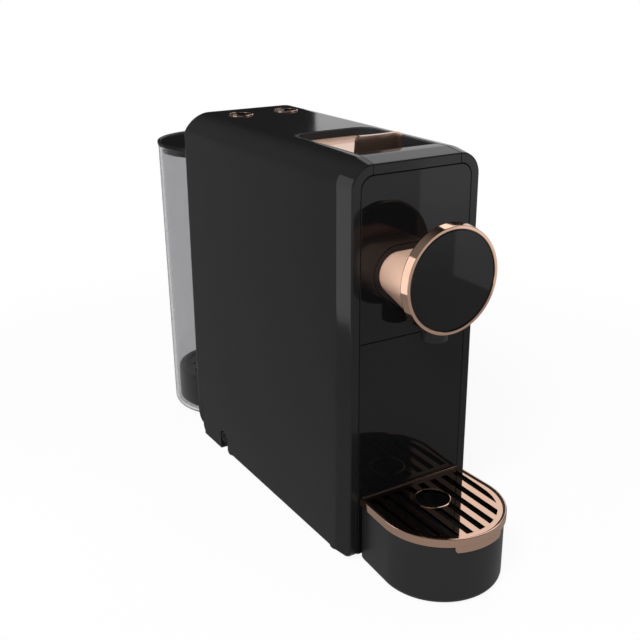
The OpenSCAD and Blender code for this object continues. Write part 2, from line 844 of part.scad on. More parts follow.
module drip_grid() color("#c89a86") {
    low = tray_h - 3.1;
    first = -(slot_count - 1) / 2 * slot_pitch;
    difference() {
        union() {
            extrude_z(low, low + grid_t) polygon(tray_points(band_t + 1.4));
            rod_z(hole_r + ring_w, 0, hole_y, [low, low + grid_t + 0.5]);
        }
        difference() {
            extrude_z(low - 1, low + grid_t + 1) intersection() {
                polygon(tray_points(slot_margin));
                for (i = [0:slot_count - 1])
                    translate([first + i * slot_pitch - slot_w / 2, -tray_reach])
                        square([slot_w, tray_reach]);
            }
            rod_z(hole_r + ring_w, 0, hole_y, [0, tray_h + 1]);
        }
        rod_z(hole_r, 0, hole_y, [0, tray_h + 1]);
    }
}

// ---- water tank ----

function tank_profile(grow, low, high) = concat([[0, low]],
    arc([tank_low_r + grow - tank_corner, low + tank_corner], tank_corner, -90, 0, 8),
    [[tank_top_r + grow, high], [0, high]]);

module water_tank() color("#b4b8bc", 0.4) translate([0, tank_y, 0]) {
    channel = [[-bump_half, bump_half], [-lid_r, dock_end - tank_y + 1]];
    difference() {
        union() {
            difference() {
                rotate_extrude() polygon(tank_profile(0, tank_bottom, tank_top));
                rotate_extrude()
                    polygon(tank_profile(-tank_wall, tank_bottom + tank_wall, tank_top + 1));
            }
            // raised floor over the dock
            intersection() {
                block([-bump_half - bump_wall, bump_half + bump_wall],
                    [-lid_r, channel[1][1] + bump_wall],
                    [tank_bottom + eps, bump_top + bump_wall]);
                rotate_extrude() polygon(tank_profile(-1, tank_bottom, tank_top));
            }
        }
        block(channel[0], channel[1], [0, bump_top]);
        rod_z(valve_r + 0.05, 0, nipple_y - tank_y, [0, bump_top + bump_wall + 1]);
    }
}

valve_r = 8;
module tank_valve() color("#303034") {
    difference() {
        union() {
            rod_z(valve_r, 0, nipple_y, [bump_top, bump_top + bump_wall]);
            rod_z(valve_r + 3, 0, nipple_y, [bump_top + bump_wall, bump_top + bump_wall + 2]);
            rod_z(valve_r - 1, 0, nipple_y, [bump_top + bump_wall, bump_top + 14]);
        }
        rod_z(nipple_r + 0.3, 0, nipple_y, [0, bump_top + 9]);
    }
}

cup_gap = 2.2;
module filter_cup() color("#2b2b2e") translate([0, tank_y, 0]) {
    r = tank_low_r - tank_wall - cup_gap;
    low = tank_bottom + tank_wall + 0.3;
    difference() {
        rotate_extrude() polygon(concat([[0, low]],
            arc([r - tank_corner + 1, low + tank_corner - 1], tank_corner - 1, -90, 0, 6),
            [[r, cup_h], [0, cup_h]]));
        rod_z(r - 2.2, 0, 0, [0, cup_h - 2]);
        block([-bump_half - bump_wall - 0.3, bump_half + bump_wall + 0.3],
            [-lid_r, dock_end - tank_y + bump_wall + 1.3], [0, bump_top + bump_wall + 0.3]);
        for (a = [0:30:330]) rotate(a) rod_z(2.5, r - 12, 0, [cup_h - 3, cup_h + 1]);
    }
}

module tank_lid() color("#202022") {
    rod_z(lid_r, 0, tank_y, [tank_top + 0.2, tank_h]);
    difference() {
        rod_z(tank_top_r - tank_wall - 0.5, 0, tank_y, [tank_top - 5.5, tank_top + 0.3]);
        rod_z(tank_top_r - tank_wall - 2.3, 0, tank_y, [tank_top - 6, tank_top + 0.2]);
    }
}

module tank_dock() color("#38383c") {
    riser_y = base_rear + 1.2;
    difference() {
        union() {
            block([-dock_half, dock_half], [body_d + 0.2, dock_end],
                [dock_bottom, dock_bottom + dock_t]);
            block([-12, 12], [base_rear + 0.3, body_d + 0.3], [dock_bottom, dock_bottom + dock_t]);
            block([-12, 12], [base_rear + 0.3, cover_y - 0.2], [dock_bottom, dock_barb_z + 5]);
            rod_z(nipple_r, 0, nipple_y, [dock_bottom + dock_t - eps, dock_bottom + dock_t + 8]);
            rod_y(barb_r, 0, [base_rear - 6, base_rear + 0.4], dock_barb_z);
        }
        // water way from the nipple to the barb
        rod_z(1.6, 0, nipple_y, [dock_bottom + 1.8, dock_bottom + dock_t + 9]);
        block([-0.8, 0.8], [riser_y + 0.5, nipple_y], [dock_bottom + 2, dock_bottom + 3.2]);
        block([-2, 2], [riser_y, riser_y + 2], [dock_bottom + 1.5, dock_barb_z + 2]);
        rod_y(1.6, 0, [base_rear - 7, riser_y + 1], dock_barb_z);
    }
}

module dock_seal() color("#101012") {
    translate([0, nipple_y, dock_bottom + dock_t]) rotate_extrude()
        translate([nipple_r, 0]) square([1.6, 0.5]);
}

// ---- pump, boiler and electrics ----

module pump() color("#8e8e94") {
    difference() {
        union() {
            rod_y(pump_r, 0, [pump_y, pump_y + pump_len * 0.6], pump_z);
            rod_y(pump_r - 5, 0, [pump_y + pump_len * 0.6 - eps, pump_y + pump_len], pump_z);
            rod_y(barb_r, 0, [pump_y + pump_len - eps, pump_y + pump_len + 8], pump_z);
            rod_y(barb_r, 0, [pump_y - 8, pump_y + eps], pump_z);
            // terminals
            block([-8, 8], [pump_y + 6, pump_y + 16], [pump_z + pump_r - 2, pump_z + pump_r + 6]);
        }
        rod_y(1.4, 0, [pump_y - 9, pump_y + pump_len + 9], pump_z);
    }
}

module pump_mounts() color("#141416") {
    for (mount = [[pump_y + 4, pump_r], [pump_y + pump_len - 12, pump_r - 5]])
        difference() {
            block([-10, 10], [mount[0], mount[0] + 8], [base_top, pump_z - mount[1] + 4]);
            rod_y(mount[1] + 0.05, 0, [mount[0] - 1, mount[0] + 9], pump_z);
        }
}

module flow_meter() color("#e4e4e0") {
    difference() {
        union() {
            rod_z(meter_r, meter_x, meter_y, [base_top, base_top + meter_h]);
            rod_z(meter_r - 3, meter_x, meter_y, [base_top, base_top + meter_h + 3]);
            rod_z(barb_r, meter_x, meter_y, [base_top, meter_top]);
            rod_x(barb_r, [meter_x, meter_x + meter_r + 6], meter_y, dock_barb_z);
        }
        rod_z(1.4, meter_x, meter_y, [base_top + meter_h, meter_top + 1]);
        rod_x(1.4, [meter_x + 4, meter_x + meter_r + 7], meter_y, dock_barb_z);
    }
}

module boiler() color("#b6b6ba") {
    difference() {
        union() {
            block([-boiler_half, boiler_half], [boiler_y, boiler_y + boiler_len],
                [boiler_base, boiler_base + boiler_h]);
            for (z = [14, 30, 46])
                block([-boiler_half - 2, boiler_half + 2], [boiler_y - 2, boiler_y + boiler_len + 2],
                    [boiler_base + z - 2.5, boiler_base + z + 2.5]);
            for (x = [-1, 1] * (boiler_half - 6), y = [boiler_y + 6, boiler_y + boiler_len - 6])
                rod_z(3.5, x, y, [shelf_z + shelf_t, boiler_base + eps]);
            rod_y(barb_r, 14, [boiler_y - 8, boiler_y], boiler_base + 7);
            rod_y(barb_r, -10, [boiler_y - 8, boiler_y], boiler_base + boiler_h - 6);
        }
        rod_y(1.5, 14, [boiler_y - 9, boiler_y + boiler_len - 8], boiler_base + 7);
        rod_y(1.5, -10, [boiler_y - 9, boiler_y + boiler_len - 8], boiler_base + boiler_h - 6);
    }
}

board_x = 6 - chassis_half;
board_y = [partition_y + 26, cover_y - 14];
board_z = [155, 228];
module control_board() color("#2c6b45") {
    block([board_x, board_x + 1.6], board_y, board_z);
    top = board_x + 1.6 - eps;
    // transformer, relay and capacitors
    block([top, top + 16], [board_y[0] + 8, board_y[0] + 34], [board_z[0] + 8, board_z[0] + 34]);
    block([top, top + 10], [board_y[0] + 44, board_y[0] + 62], [board_z[0] + 10, board_z[0] + 24]);
    for (i = [0:2]) rod_x(4, [top, top + 14], board_y[0] + 16 + 12 * i, board_z[1] - 16);
}

// A hose runs straight off its barbs at both ends and curves between them
function hose_path(points) =
    let (n = len(points), steps = 5)
    concat([points[0]],
        [for (i = [1:n - 3], k = [0:steps - 1])
            curve_point(points[i - 1], points[i], points[i + 1], points[i + 2], k / steps)],
        [points[n - 2], points[n - 1]]);

module hose(points) tube(hose_path(points), hose_r);

module tank_hose() color("#d9dadb") {
    inlet_x = meter_x + meter_r + 6;
    hose([[0, base_rear - 6, dock_barb_z], [0, base_rear - 12, dock_barb_z],
        [-1.8, meter_y + 4.5, dock_barb_z], [inlet_x + 4, meter_y, dock_barb_z],
        [inlet_x, meter_y, dock_barb_z]]);
}

module feed_hose() color("#d9dadb") {
    pump_end = pump_y + pump_len + 8;
    hose([[meter_x, meter_y, meter_top], [meter_x, meter_y, meter_top + 4],
        [meter_x + 3, meter_y, meter_top + 11], [meter_x + 12, meter_y + 1, meter_top + 15],
        [meter_x + 22, meter_y + 1, meter_top + 11], [0, meter_y - 3, pump_z + 4],
        [0, pump_end + 6, pump_z], [0, pump_end, pump_z]]);
}

module pressure_hose() color("#d9dadb") {
    inlet = [14, boiler_y - 8, boiler_base + 7];
    hose([[0, pump_y - 8, pump_z], [0, pump_y - 12, pump_z], [8, pump_y - 16, pump_z + 12],
        [20, pump_y - 8, pump_z + 30], [24, pump_y - 2, shelf_z - 6],
        [24, pump_y - 3, shelf_z + 4], inlet - [-4, 8, 5], inlet - [0, 5, 0], inlet]);
}

module brew_hose() color("#d9dadb") {
    outlet = [-10, boiler_y - 8, boiler_base + boiler_h - 6];
    inlet = [0, injector_y + 22, pod_z];
    hose([outlet, outlet - [0, 4, 0], outlet + [0, -9, 10], outlet + [4, -10, 30],
        inlet + [-2, 9, -20], inlet + [0, 5, 0], inlet]);
}

module cord_gland() color("#131315") {
    difference() {
        union() {
            rod_x(gland_r, [-chassis_half, 3 - chassis_half], gland_y, gland_z);
            // neck through the housing's notch
            rod_x(gland_neck_r, [gland_out, eps - chassis_half], gland_y, gland_z);
            rod_x(gland_r - 2, [3 - chassis_half - eps, gland_in], gland_y, gland_z);
        }
        rod_x(3.1, [gland_out - 1, gland_in + 1], gland_y, gland_z);
    }
}

stand() housing_shell();
stand() brow_cover();
stand() upper_front_panel();
stand() chassis();
stand() rear_cover();
stand() inlet_tray();
stand() lever();
stand() hinge_pin();
stand() gear_sectors();
stand() cup_carriage();
stand() injector_head();
stand() brew_frame();
stand() coffee_funnel();
stand() outlet_collar();
stand() outlet_arm();
stand() coffee_nozzle();
stand() dial_rim();
stand() dial_face();
stand() button_left();
stand() button_right();
stand() bezel_left();
stand() bezel_right();
stand() spring_left();
stand() spring_right();
stand() switch_board();
stand() pod_bin();
stand() lower_front_panel();
stand() drip_tray();
stand() tray_band();
stand() drip_grid();
stand() water_tank();
stand() tank_lid();
stand() filter_cup();
stand() tank_valve();
stand() tank_dock();
stand() dock_seal();
stand() pump();
stand() pump_mounts();
stand() flow_meter();
stand() boiler();
stand() control_board();
stand() tank_hose();
stand() feed_hose();
stand() pressure_hose();
stand() brew_hose();
stand() cord_gland();
stand() feet();
stand() rear_screws();
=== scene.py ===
import math
from types import SimpleNamespace

import bmesh
import bpy
from mathutils import Matrix, Vector


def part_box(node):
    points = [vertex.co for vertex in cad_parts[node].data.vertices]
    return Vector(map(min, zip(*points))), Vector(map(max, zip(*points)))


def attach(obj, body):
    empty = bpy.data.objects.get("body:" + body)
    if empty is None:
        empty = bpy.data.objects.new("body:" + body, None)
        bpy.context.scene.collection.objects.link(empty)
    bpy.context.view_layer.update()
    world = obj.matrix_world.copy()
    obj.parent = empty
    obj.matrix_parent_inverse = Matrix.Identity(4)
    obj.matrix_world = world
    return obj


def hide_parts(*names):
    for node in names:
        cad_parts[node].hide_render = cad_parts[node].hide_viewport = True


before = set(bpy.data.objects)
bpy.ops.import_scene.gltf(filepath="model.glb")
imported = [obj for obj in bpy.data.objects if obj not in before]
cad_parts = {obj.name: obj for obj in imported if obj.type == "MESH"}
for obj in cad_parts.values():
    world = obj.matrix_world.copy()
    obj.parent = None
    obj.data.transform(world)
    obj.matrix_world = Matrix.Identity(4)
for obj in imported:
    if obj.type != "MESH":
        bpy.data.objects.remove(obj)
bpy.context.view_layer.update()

bl_info = {
    "name": "Pod Coffee Machine",
    "version": (1, 0, 0),
    "blender": (4, 5, 0),
    "location": "View3D > Sidebar > Coffee",
    "description": "Models the housing, outlet, drip tray and water tank of a pod coffee machine",
    "category": "Add Mesh",
}

# Pieces are modelled in millimetres, with y = 0 on the front panel and z = 0 on the table.
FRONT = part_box("upper_front_panel")[0].y
HOME = Matrix.Translation((0, FRONT, 0)) @ Matrix.Scale(0.001, 4)


def box(node):
    """The lowest and highest corners of a CAD node, in the pieces' millimetres."""
    low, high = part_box(node)
    return HOME.inverted() @ low, HOME.inverted() @ high


# ---- outlines ----


def arc(centre, radius, start, end, steps=8):
    """Points of an arc in a plane. The radius is a number, or a pair on an ellipse."""
    across, up = radius if isinstance(radius, tuple) else (radius, radius)
    angles = [math.radians(start + (end - start) * i / steps) for i in range(steps + 1)]
    return [(centre[0] + across * math.cos(a), centre[1] + up * math.sin(a)) for a in angles]


def arch(half, top, radius, foot, steps=8):
    """An upright arch with round corners, open at its feet."""
    across, up = radius if isinstance(radius, tuple) else (radius, radius)
    right = arc((half - across, top - up), (across, up), 0, 90, steps)
    left = arc((across - half, top - up), (across, up), 90, 180, steps)
    return [(half, foot), *right, *left, (-half, foot)]


def outlet(grow, steps=14):
    """The outlet arm's section: two upper lobes and a lower one, grown outwards."""
    size = in_mm("outlet_sizes")
    run, drop = size.lobe_spread, size.lobe_height - size.tip_height
    slope = math.degrees(
        math.atan2(drop, run) - math.acos((size.tip_radius - size.lobe_radius) / math.hypot(run, drop))
    )
    lobe, tip = size.lobe_radius + grow, size.tip_radius + grow
    return (
        arc((run, size.lobe_height), lobe, slope, 90, steps)
        + arc((-run, size.lobe_height), lobe, 90, 180 - slope, steps)
        + arc((0, size.tip_height), tip, 180 - slope, 360 + slope, steps)
    )


def tray_plan(inset, steps=48):
    """The drip tray from above, moved inwards: straight sides and a round front."""
    size = in_mm("tray_sizes")
    half, back, radius = size.half_width - inset, -size.gap - inset, size.front_radius - inset
    centre = size.front_radius - size.reach
    run, rise = half, back - centre
    turn = math.degrees(math.atan2(rise, run) - math.acos(min(1, radius / math.hypot(run, rise))))
    return [(half, back), *arc((0, centre), radius, turn, -180 - turn, steps), (-half, back)]


# ---- mesh helpers ----


def sweep(bm, outlines, closed=True):
    """Extrudes the first outline through the others, which have as many points."""
    row = [bm.verts.new(p) for p in outlines[0]]
    ends = row[1:] + row[:1] if closed else row[1:]
    edges = [bm.edges.new(pair) for pair in zip(row, ends)]
    rows = [row]
    for outline in outlines[1:]:
        grown = bmesh.ops.extrude_edge_only(bm, edges=edges)["geom"]
        fresh = {v for v in grown if isinstance(v, bmesh.types.BMVert)}
        row = [next(e.other_vert(v) for e in v.link_edges if e.other_vert(v) in fresh) for v in row]
        for vert, point in zip(row, outline):
            vert.co = point
        edges = [e for e in grown if isinstance(e, bmesh.types.BMEdge) and set(e.verts) <= fresh]
        rows.append(row)
    return rows


def cap(bm, row):
    """Closes an end of a sweep."""
    bm.faces.new(row)


def lathe(bm, profile, centre, axis, steps=96):
    """Spins (radius, height) points round an axis through the centre."""
    side = Vector((1, 0, 0)) if abs(axis[0]) < 0.5 else Vector((0, 0, 1))
    verts = [bm.verts.new(Vector(centre) + side * r + Vector(axis) * h) for r, h in profile]
    edges = [bm.edges.new(pair) for pair in zip(verts, verts[1:] + verts[:1])]
    bmesh.ops.spin(
        bm, geom=verts + edges, cent=centre, axis=axis, angle=math.tau, steps=steps, use_merge=True
    )
    bmesh.ops.remove_doubles(bm, verts=bm.verts, dist=0.0005)
    bmesh.ops.dissolve_degenerate(bm, edges=bm.edges, dist=0.0005)


def slab(bm, outline, direction):
    """A flat outline pushed along a direction."""
    base = bm.faces.new([bm.verts.new(p) for p in outline])
    pushed = bmesh.ops.extrude_face_region(bm, geom=[base])["geom"]
    verts = [v for v in pushed if isinstance(v, bmesh.types.BMVert)]
    bmesh.ops.translate(bm, verts=verts, vec=direction)


def block(bm, low, high):
    """A box between two corners."""
    size = Vector(high) - Vector(low)
    middle = Matrix.Translation((Vector(high) + Vector(low)) / 2)
    bmesh.ops.create_cube(bm, size=1, matrix=middle @ Matrix.Diagonal((*size, 1)))


def round_edges(bm, width, steps=3, above=30, edges=None):
    """Bevels every edge that turns by more than an angle."""
    sharp = [
        e
        for e in (bm.edges if edges is None else edges)
        if e.is_manifold and e.calc_face_angle(0) > math.radians(above)
    ]
    bmesh.ops.bevel(
        bm,
        geom=sharp,
        offset=width,
        offset_type="OFFSET",
        segments=steps,
        profile=0.5,
        affect="EDGES",
        material=-1,
        clamp_overlap=True,
    )


def make(bm, name):
    """Turns a bmesh in millimetres into an object whose place is in its mesh."""
    bmesh.ops.transform(bm, matrix=HOME, verts=bm.verts)
    bmesh.ops.recalc_face_normals(bm, faces=bm.faces)
    mesh = bpy.data.meshes.new(name)
    bm.to_mesh(mesh)
    bm.free()
    thing = bpy.data.objects.new(name, mesh)
    bpy.context.scene.collection.objects.link(thing)
    return thing


def shaped(shape, *values, name="cutter", rounding=None):
    """An object of one shape, with its edges rounded by a width, steps and an angle."""
    bm = bmesh.new()
    shape(bm, *values)
    if rounding:
        round_edges(bm, *rounding)
    return make(bm, name)


def cut(thing, *tools):
    """Takes other closed objects away from one, and removes them."""
    for tool in tools:
        step = thing.modifiers.new("Cut", "BOOLEAN")
        step.operation, step.solver, step.object = "DIFFERENCE", "EXACT", tool
    bpy.context.view_layer.update()
    result = thing.evaluated_get(bpy.context.evaluated_depsgraph_get())
    mesh = bpy.data.meshes.new_from_object(result)
    thing.modifiers.clear()
    old, thing.data = thing.data, mesh
    bpy.data.meshes.remove(old)
    for tool in tools:
        bpy.data.objects.remove(tool)
    return thing


def soften(thing, width, steps, chosen):
    """Bevels the edges that a test picks, given their ends and faces in millimetres."""
    bm = bmesh.new()
    bm.from_mesh(thing.data)
    bmesh.ops.transform(bm, matrix=HOME.inverted(), verts=bm.verts)
    bmesh.ops.remove_doubles(bm, verts=bm.verts, dist=0.001)
    picked = [e for e in bm.edges if e.is_manifold and e.calc_face_angle(0) > 0.5 and chosen(e)]
    round_edges(bm, width, steps, above=30, edges=picked)
    bmesh.ops.transform(bm, matrix=HOME, verts=bm.verts)
    bm.to_mesh(thing.data)
    bm.free()


def settle(thing, body, finish_name, slot, *nodes, angle=32):
    """Smooths a piece, gives it its finish, and puts it in the place of its CAD nodes."""
    mesh = thing.data
    mesh.name = thing.name
    for polygon in mesh.polygons:
        polygon.use_smooth = True
    mesh.set_sharp_from_angle(angle=math.radians(angle))
    shading = thing.modifiers.new("Even shading", "WEIGHTED_NORMAL")
    shading.keep_sharp = True
    mesh.materials.clear()
    mesh.materials.append(finish(finish_name))
    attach(thing, body)
    if nodes:
        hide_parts(*nodes)
    return thing


# ---- finishes ----


class Value:
    """One output of a node. Arithmetic on it adds Math nodes."""

    def __init__(self, graph, socket):
        self.graph, self.socket = graph, socket

    def math(self, operation, first, second):
        return self.graph.add("ShaderNodeMath", {"operation": operation}, {0: first, 1: second})

    def __add__(self, other):
        return self.math("ADD", self, other)

    def __mul__(self, other):
        return self.math("MULTIPLY", self, other)

    def __sub__(self, other):
        return self.math("SUBTRACT", self, other)

    def __rsub__(self, other):
        return self.math("SUBTRACT", other, self)

    def __gt__(self, other):
        return self.math("GREATER_THAN", self, other)

    __radd__ = __add__
    __rmul__ = __mul__


class Graph:
    """The nodes of one material or world."""

    def __init__(self, owner):
        owner.use_nodes = True
        self.tree = owner.node_tree
        self.tree.nodes.clear()

    def add(self, kind, settings=None, sockets=None, out=0):
        """Adds a node, sets it up, then fills its sockets with values or links."""
        node = self.tree.nodes.new(kind)
        for name, value in (settings or {}).items():
            setattr(node, name, value)
        for name, value in (sockets or {}).items():
            if isinstance(value, Value):
                self.tree.links.new(value.socket, node.inputs[name])
            else:
                node.inputs[name].default_value = value
        return Value(self, node.outputs[out]) if node.outputs else node

    def place(self, scale=1.0):
        """Object coordinates, stretched by one number or three."""
        spot = self.add("ShaderNodeTexCoord", out=3)
        steps = (scale,) * 3 if isinstance(scale, (int, float)) else scale
        return self.add("ShaderNodeMapping", None, {"Vector": spot, "Scale": steps})

    def noise(self, scale, detail=3.0, stretch=1.0, rough=0.5):
        return self.add(
            "ShaderNodeTexNoise",
            None,
            {"Vector": self.place(stretch), "Scale": scale, "Detail": detail, "Roughness": rough},
        )

    def between(self, factor, low, high):
        """A colour between two others."""
        return self.add(
            "ShaderNodeMix",
            {"data_type": "RGBA"},
            {"Factor": factor, 6: low, 7: high},
            out=2,
        )

    def rays(self, *kinds):
        """One for the named kinds of ray, nothing for the others."""
        node = self.add("ShaderNodeLightPath").socket.node
        found = [Value(self, node.outputs[kind]) for kind in kinds]
        return sum(found[1:], found[0])

    def step(self, value, low, high, at_low, at_high):
        """A value carried smoothly from one range to another."""
        sockets = {"Value": value, 1: low, 2: high, 3: at_low, 4: at_high}
        return self.add("ShaderNodeMapRange", {"interpolation_type": "SMOOTHSTEP"}, sockets)

    def part(self, vector, axis):
        node = self.add("ShaderNodeSeparateXYZ", None, {0: vector}).socket.node
        return Value(self, node.outputs[axis])

    def bump(self, height, distance, strength=1.0):
        return self.add(
            "ShaderNodeBump", None, {"Height": height, "Distance": distance, "Strength": strength}
        )

    def output(self, surface, kind="ShaderNodeOutputMaterial"):
        self.add(kind, None, {"Surface": surface})


def rgba(colour, gain=1.0):
    return (*[min(1.0, c * gain) for c in colour[:3]], 1.0)


def moulded(name, colour, rough, spread, grain, depth, specular=0.5):
    """Moulded plastic: slow colour and gloss variation over a fine grain."""
    material = bpy.data.materials.new(name)
    graph = Graph(material)
    slow = graph.noise(14, 4)
    dust = graph.noise(160, 3)
    base = graph.between(slow, rgba(colour, 0.86), rgba(colour, 1.14))
    gloss = rough - spread / 2 + spread * slow + 0.35 * spread * dust
    height = graph.noise(grain, 2)
    sockets = {
        "Base Color": base,
        "Roughness": gloss,
        "IOR": 1.5,
        "Specular IOR Level": specular,
        "Normal": graph.bump(height, depth),
    }
    graph.output(graph.add("ShaderNodeBsdfPrincipled", None, sockets))
    return material


def plated(name, colour, rough, spread, streak=(1, 1, 1), depth=0.0, metallic=1.0):
    """Polished plating: faint haze and the finest of polishing lines."""
    material = bpy.data.materials.new(name)
    graph = Graph(material)
    slow = graph.noise(20, 3)
    lines = graph.noise(260, 2, streak)
    base = graph.between(slow, rgba(colour, 0.97), rgba(colour, 1.03))
    sockets = {
        "Base Color": base,
        "Metallic": metallic,
        "Roughness": rough + spread * slow * lines,
    }
    if depth:
        sockets["Normal"] = graph.bump(lines, depth)
    graph.output(graph.add("ShaderNodeBsdfPrincipled", None, sockets))
    return material


def clear(name, colour, rough, ior):
    """Clear tinted plastic with a faint flow pattern from its moulding."""
    material = bpy.data.materials.new(name)
    graph = Graph(material)
    flow = graph.noise(18, 2, (1, 1, 0.25))
    sockets = {
        "Base Color": graph.between(flow, rgba(colour, 0.97), rgba(colour, 1.03)),
        "Roughness": rough + 0.03 * flow,
        "IOR": ior,
        "Transmission Weight": 1.0,
        "Normal": graph.bump(flow, 0.00006),
    }
    graph.output(graph.add("ShaderNodeBsdfPrincipled", None, sockets))
    return material


def circuit(name, colour):
    """Green board with pale pads and darker tracks."""
    material = bpy.data.materials.new(name)
    graph = Graph(material)
    tracks = graph.add(
        "ShaderNodeTexVoronoi",
        {"feature": "DISTANCE_TO_EDGE", "distance": "CHEBYCHEV"},
        {"Vector": graph.place(), "Scale": 130.0},
    )
    pads = graph.add(
        "ShaderNodeTexVoronoi", None, {"Vector": graph.place(), "Scale": 220.0, "Randomness": 0.4}
    )
    lined = graph.between(tracks > 0.06, rgba(colour, 1.7), rgba(colour))
    base = graph.between(pads > 0.16, (0.55, 0.56, 0.5, 1), lined)
    sockets = {
        "Base Color": base,
        "Roughness": 0.35 + 0.1 * graph.noise(60),
        "Normal": graph.bump(tracks > 0.06, 0.00004),
    }
    graph.output(graph.add("ShaderNodeBsdfPrincipled", None, sockets))
    return material


def finish(name):
    """The named finish, made when it is first asked for."""
    if name in bpy.data.materials:
        return bpy.data.materials[name]
    tint = bpy.context.scene.finish_colours
    makers = {
        "Satin black": lambda: moulded(name, tint.housing, 0.09, 0.03, 2600, 0.0000015, specular=0.3),
        "Piano black": lambda: moulded(name, tint.panels, 0.03, 0.02, 500, 0.0000005, specular=0.36),
        "Dial black": lambda: moulded(name, tint.dial, 0.03, 0.02, 500, 0.0000005, specular=0.36),
        "Tray black": lambda: moulded(name, tint.tray, 0.3, 0.06, 2600, 0.000006),
        "Matt black": lambda: moulded(name, tint.inner, 0.5, 0.12, 1800, 0.00002),
        "Lid black": lambda: moulded(name, tint.panels, 0.25, 0.06, 2200, 0.000006),
        "Dark grey": lambda: moulded(name, tint.brew_unit, 0.45, 0.1, 1500, 0.00002),
        "Off-white acetal": lambda: moulded(name, (0.68, 0.67, 0.63), 0.32, 0.08, 900, 0.00001),
        "Rubber": lambda: moulded(name, (0.018, 0.018, 0.018), 0.75, 0.14, 1200, 0.00004),
        "Silicone": lambda: moulded(name, (0.72, 0.73, 0.72), 0.3, 0.1, 500, 0.00001),
        "Coil housing": lambda: moulded(name, (0.12, 0.12, 0.13), 0.4, 0.1, 700, 0.00003),
        "Rose gold": lambda: plated(name, tint.rose_gold, 0.07, 0.06),
        "Rose gold satin": lambda: plated(name, tint.rose_gold, 0.38, 0.1, metallic=0.35),
        "Rose gold grip": lambda: plated(name, tint.rose_gold, 0.12, 0.06, metallic=0.965),
        "Rose gold mirror": lambda: plated(name, tint.rose_gold, 0.035, 0.03),
        "Rose gold lever": lambda: plated(name, tint.rose_gold, 0.16, 0.12, (0.2, 6, 6), 0.000004, 0.55),
        "Steel": lambda: plated(name, (0.56, 0.57, 0.58), 0.24, 0.2, (0.3, 4, 4), 0.00001),
        "Cast aluminium": lambda: plated(name, (0.58, 0.58, 0.6), 0.42, 0.3, (1, 1, 1), 0.0001),
        "Smoke clear": lambda: clear(name, tint.tank, 0.03, 1.3),
        "Circuit board": lambda: circuit(name, (0.015, 0.11, 0.045)),
    }
    if name not in makers:
        raise RuntimeError(f"there is no finish named {name}")
    return makers[name]()


# ---- sizes and colours ----


def length(name, description, millimetres):
    return bpy.props.FloatProperty(
        name=name, description=description, default=millimetres / 1000, unit="LENGTH", precision=4
    )


def colour(name, description, value):
    return bpy.props.FloatVectorProperty(
        name=name, description=description, default=value, size=3, min=0, max=1, subtype="COLOR"
    )


class HousingSizes(bpy.types.PropertyGroup):
    edge_radius: length("Edge radius", "Radius of the long top edges", 18)
    rear_radius: length("Rear radius", "Radius of the rear top edge", 13)
    wall: length("Wall", "Thickness of the housing's wall", 3)
    lead: length("Lead", "Length over which the edges draw in towards the front", 16)
    lead_drop: length("Lead drop", "How far the edges draw in", 2.6)
    crease: length("Crease", "Radius of the crease round the front face", 1.2)
    panel_radius: length("Panel radius", "Radius of the front panel's top corners", 9)
    seam: length("Seam", "Width of the visible seams", 0.35)
    edge: length("Edge", "Radius of the small moulded edges", 0.5)
    tab_depth: length("Corner depth", "Depth of the pieces that close the lower rear corners", 9.5)
    tab_height: length("Corner height", "Height of the pieces that close the lower rear corners", 25)
    foot_radius: length("Foot radius", "Radius of the side walls' lower rear corners", 6)
    brow_flare: length("Brow flare", "How much wider the brow is at the front than at the back", 1.4)


class OutletSizes(bpy.types.PropertyGroup):
    lobe_spread: length("Lobe spread", "Distance of the upper lobes from the middle", 14.2)
    lobe_radius: length("Lobe radius", "Radius of the upper lobes", 14.3)
    lobe_height: length("Lobe height", "Height of the upper lobes", 210.3)
    tip_radius: length("Tip radius", "Radius of the lower lobe", 15.2)
    tip_height: length("Tip height", "Height of the lower lobe", 196.9)
    collar: length("Collar", "Width of the collar round the arm", 4.6)
    dial_lip: length("Dial lip", "Width of the bright ring round the dial's face", 2.2)
    dial_taper: length("Dial taper", "How much narrower the dial's ring is at its front", 1.0)
    dial_dish: length("Dial dish", "How far the dial's face lies behind its ring", 0.4)


class TraySizes(bpy.types.PropertyGroup):
    half_width: length("Half width", "Half the tray's width at the front panel", 43)
    reach: length("Reach", "How far the tray stands out in front of the panel", 81)
    front_radius: length("Front radius", "Radius of the tray's round front", 44.8)
    gap: length("Gap", "Gap between the tray and the front panel", 0.4)
    band_height: length("Band height", "Height of the bright band", 6)
    band: length("Band", "Thickness of the bright band", 1.1)
    tab_drop: length("Tab drop", "How far the pull tab hangs below the band", 4.5)
    tab_half: length("Tab half width", "Half the width of the pull tab", 19.7)
    wall: length("Wall", "Thickness of the tray's wall", 2.2)
    low_radius: length("Low radius", "Radius of the tray's lower edge", 5)
    slot: length("Slot", "Width of a slot in the grid", 5.3)
    pitch: length("Pitch", "Distance between slots", 10.35)
    hole: length("Hole", "Radius of the hole in the grid", 11.7)
    hole_back: length("Hole place", "Distance of the hole in front of the panel", 27)
    margin: length("Margin", "Distance of the slots' ends from the tray's outline", 6.2)


class TankSizes(bpy.types.PropertyGroup):
    wall: length("Wall", "Thickness of the tank's wall", 2.4)
    draft: length("Draft", "How much narrower the tank is at its bottom", 2.2)
    low_radius: length("Low radius", "Radius of the tank's lower edge", 7)
    lid: length("Lid", "Thickness of the lid's rim", 3.3)
    skirt: length("Skirt", "Depth of the lid inside the tank", 5.5)


class LeverSizes(bpy.types.PropertyGroup):
    plate: length("Plate", "Thickness of the lever's plate", 3.7)
    grip: length("Grip", "Thickness of the upright grip", 3.4)
    bulge: length("Bulge", "How far the grip curves forward in the middle", 1.6)
    rib: length("Rib", "Distance between the ribs on the plate", 4.1)


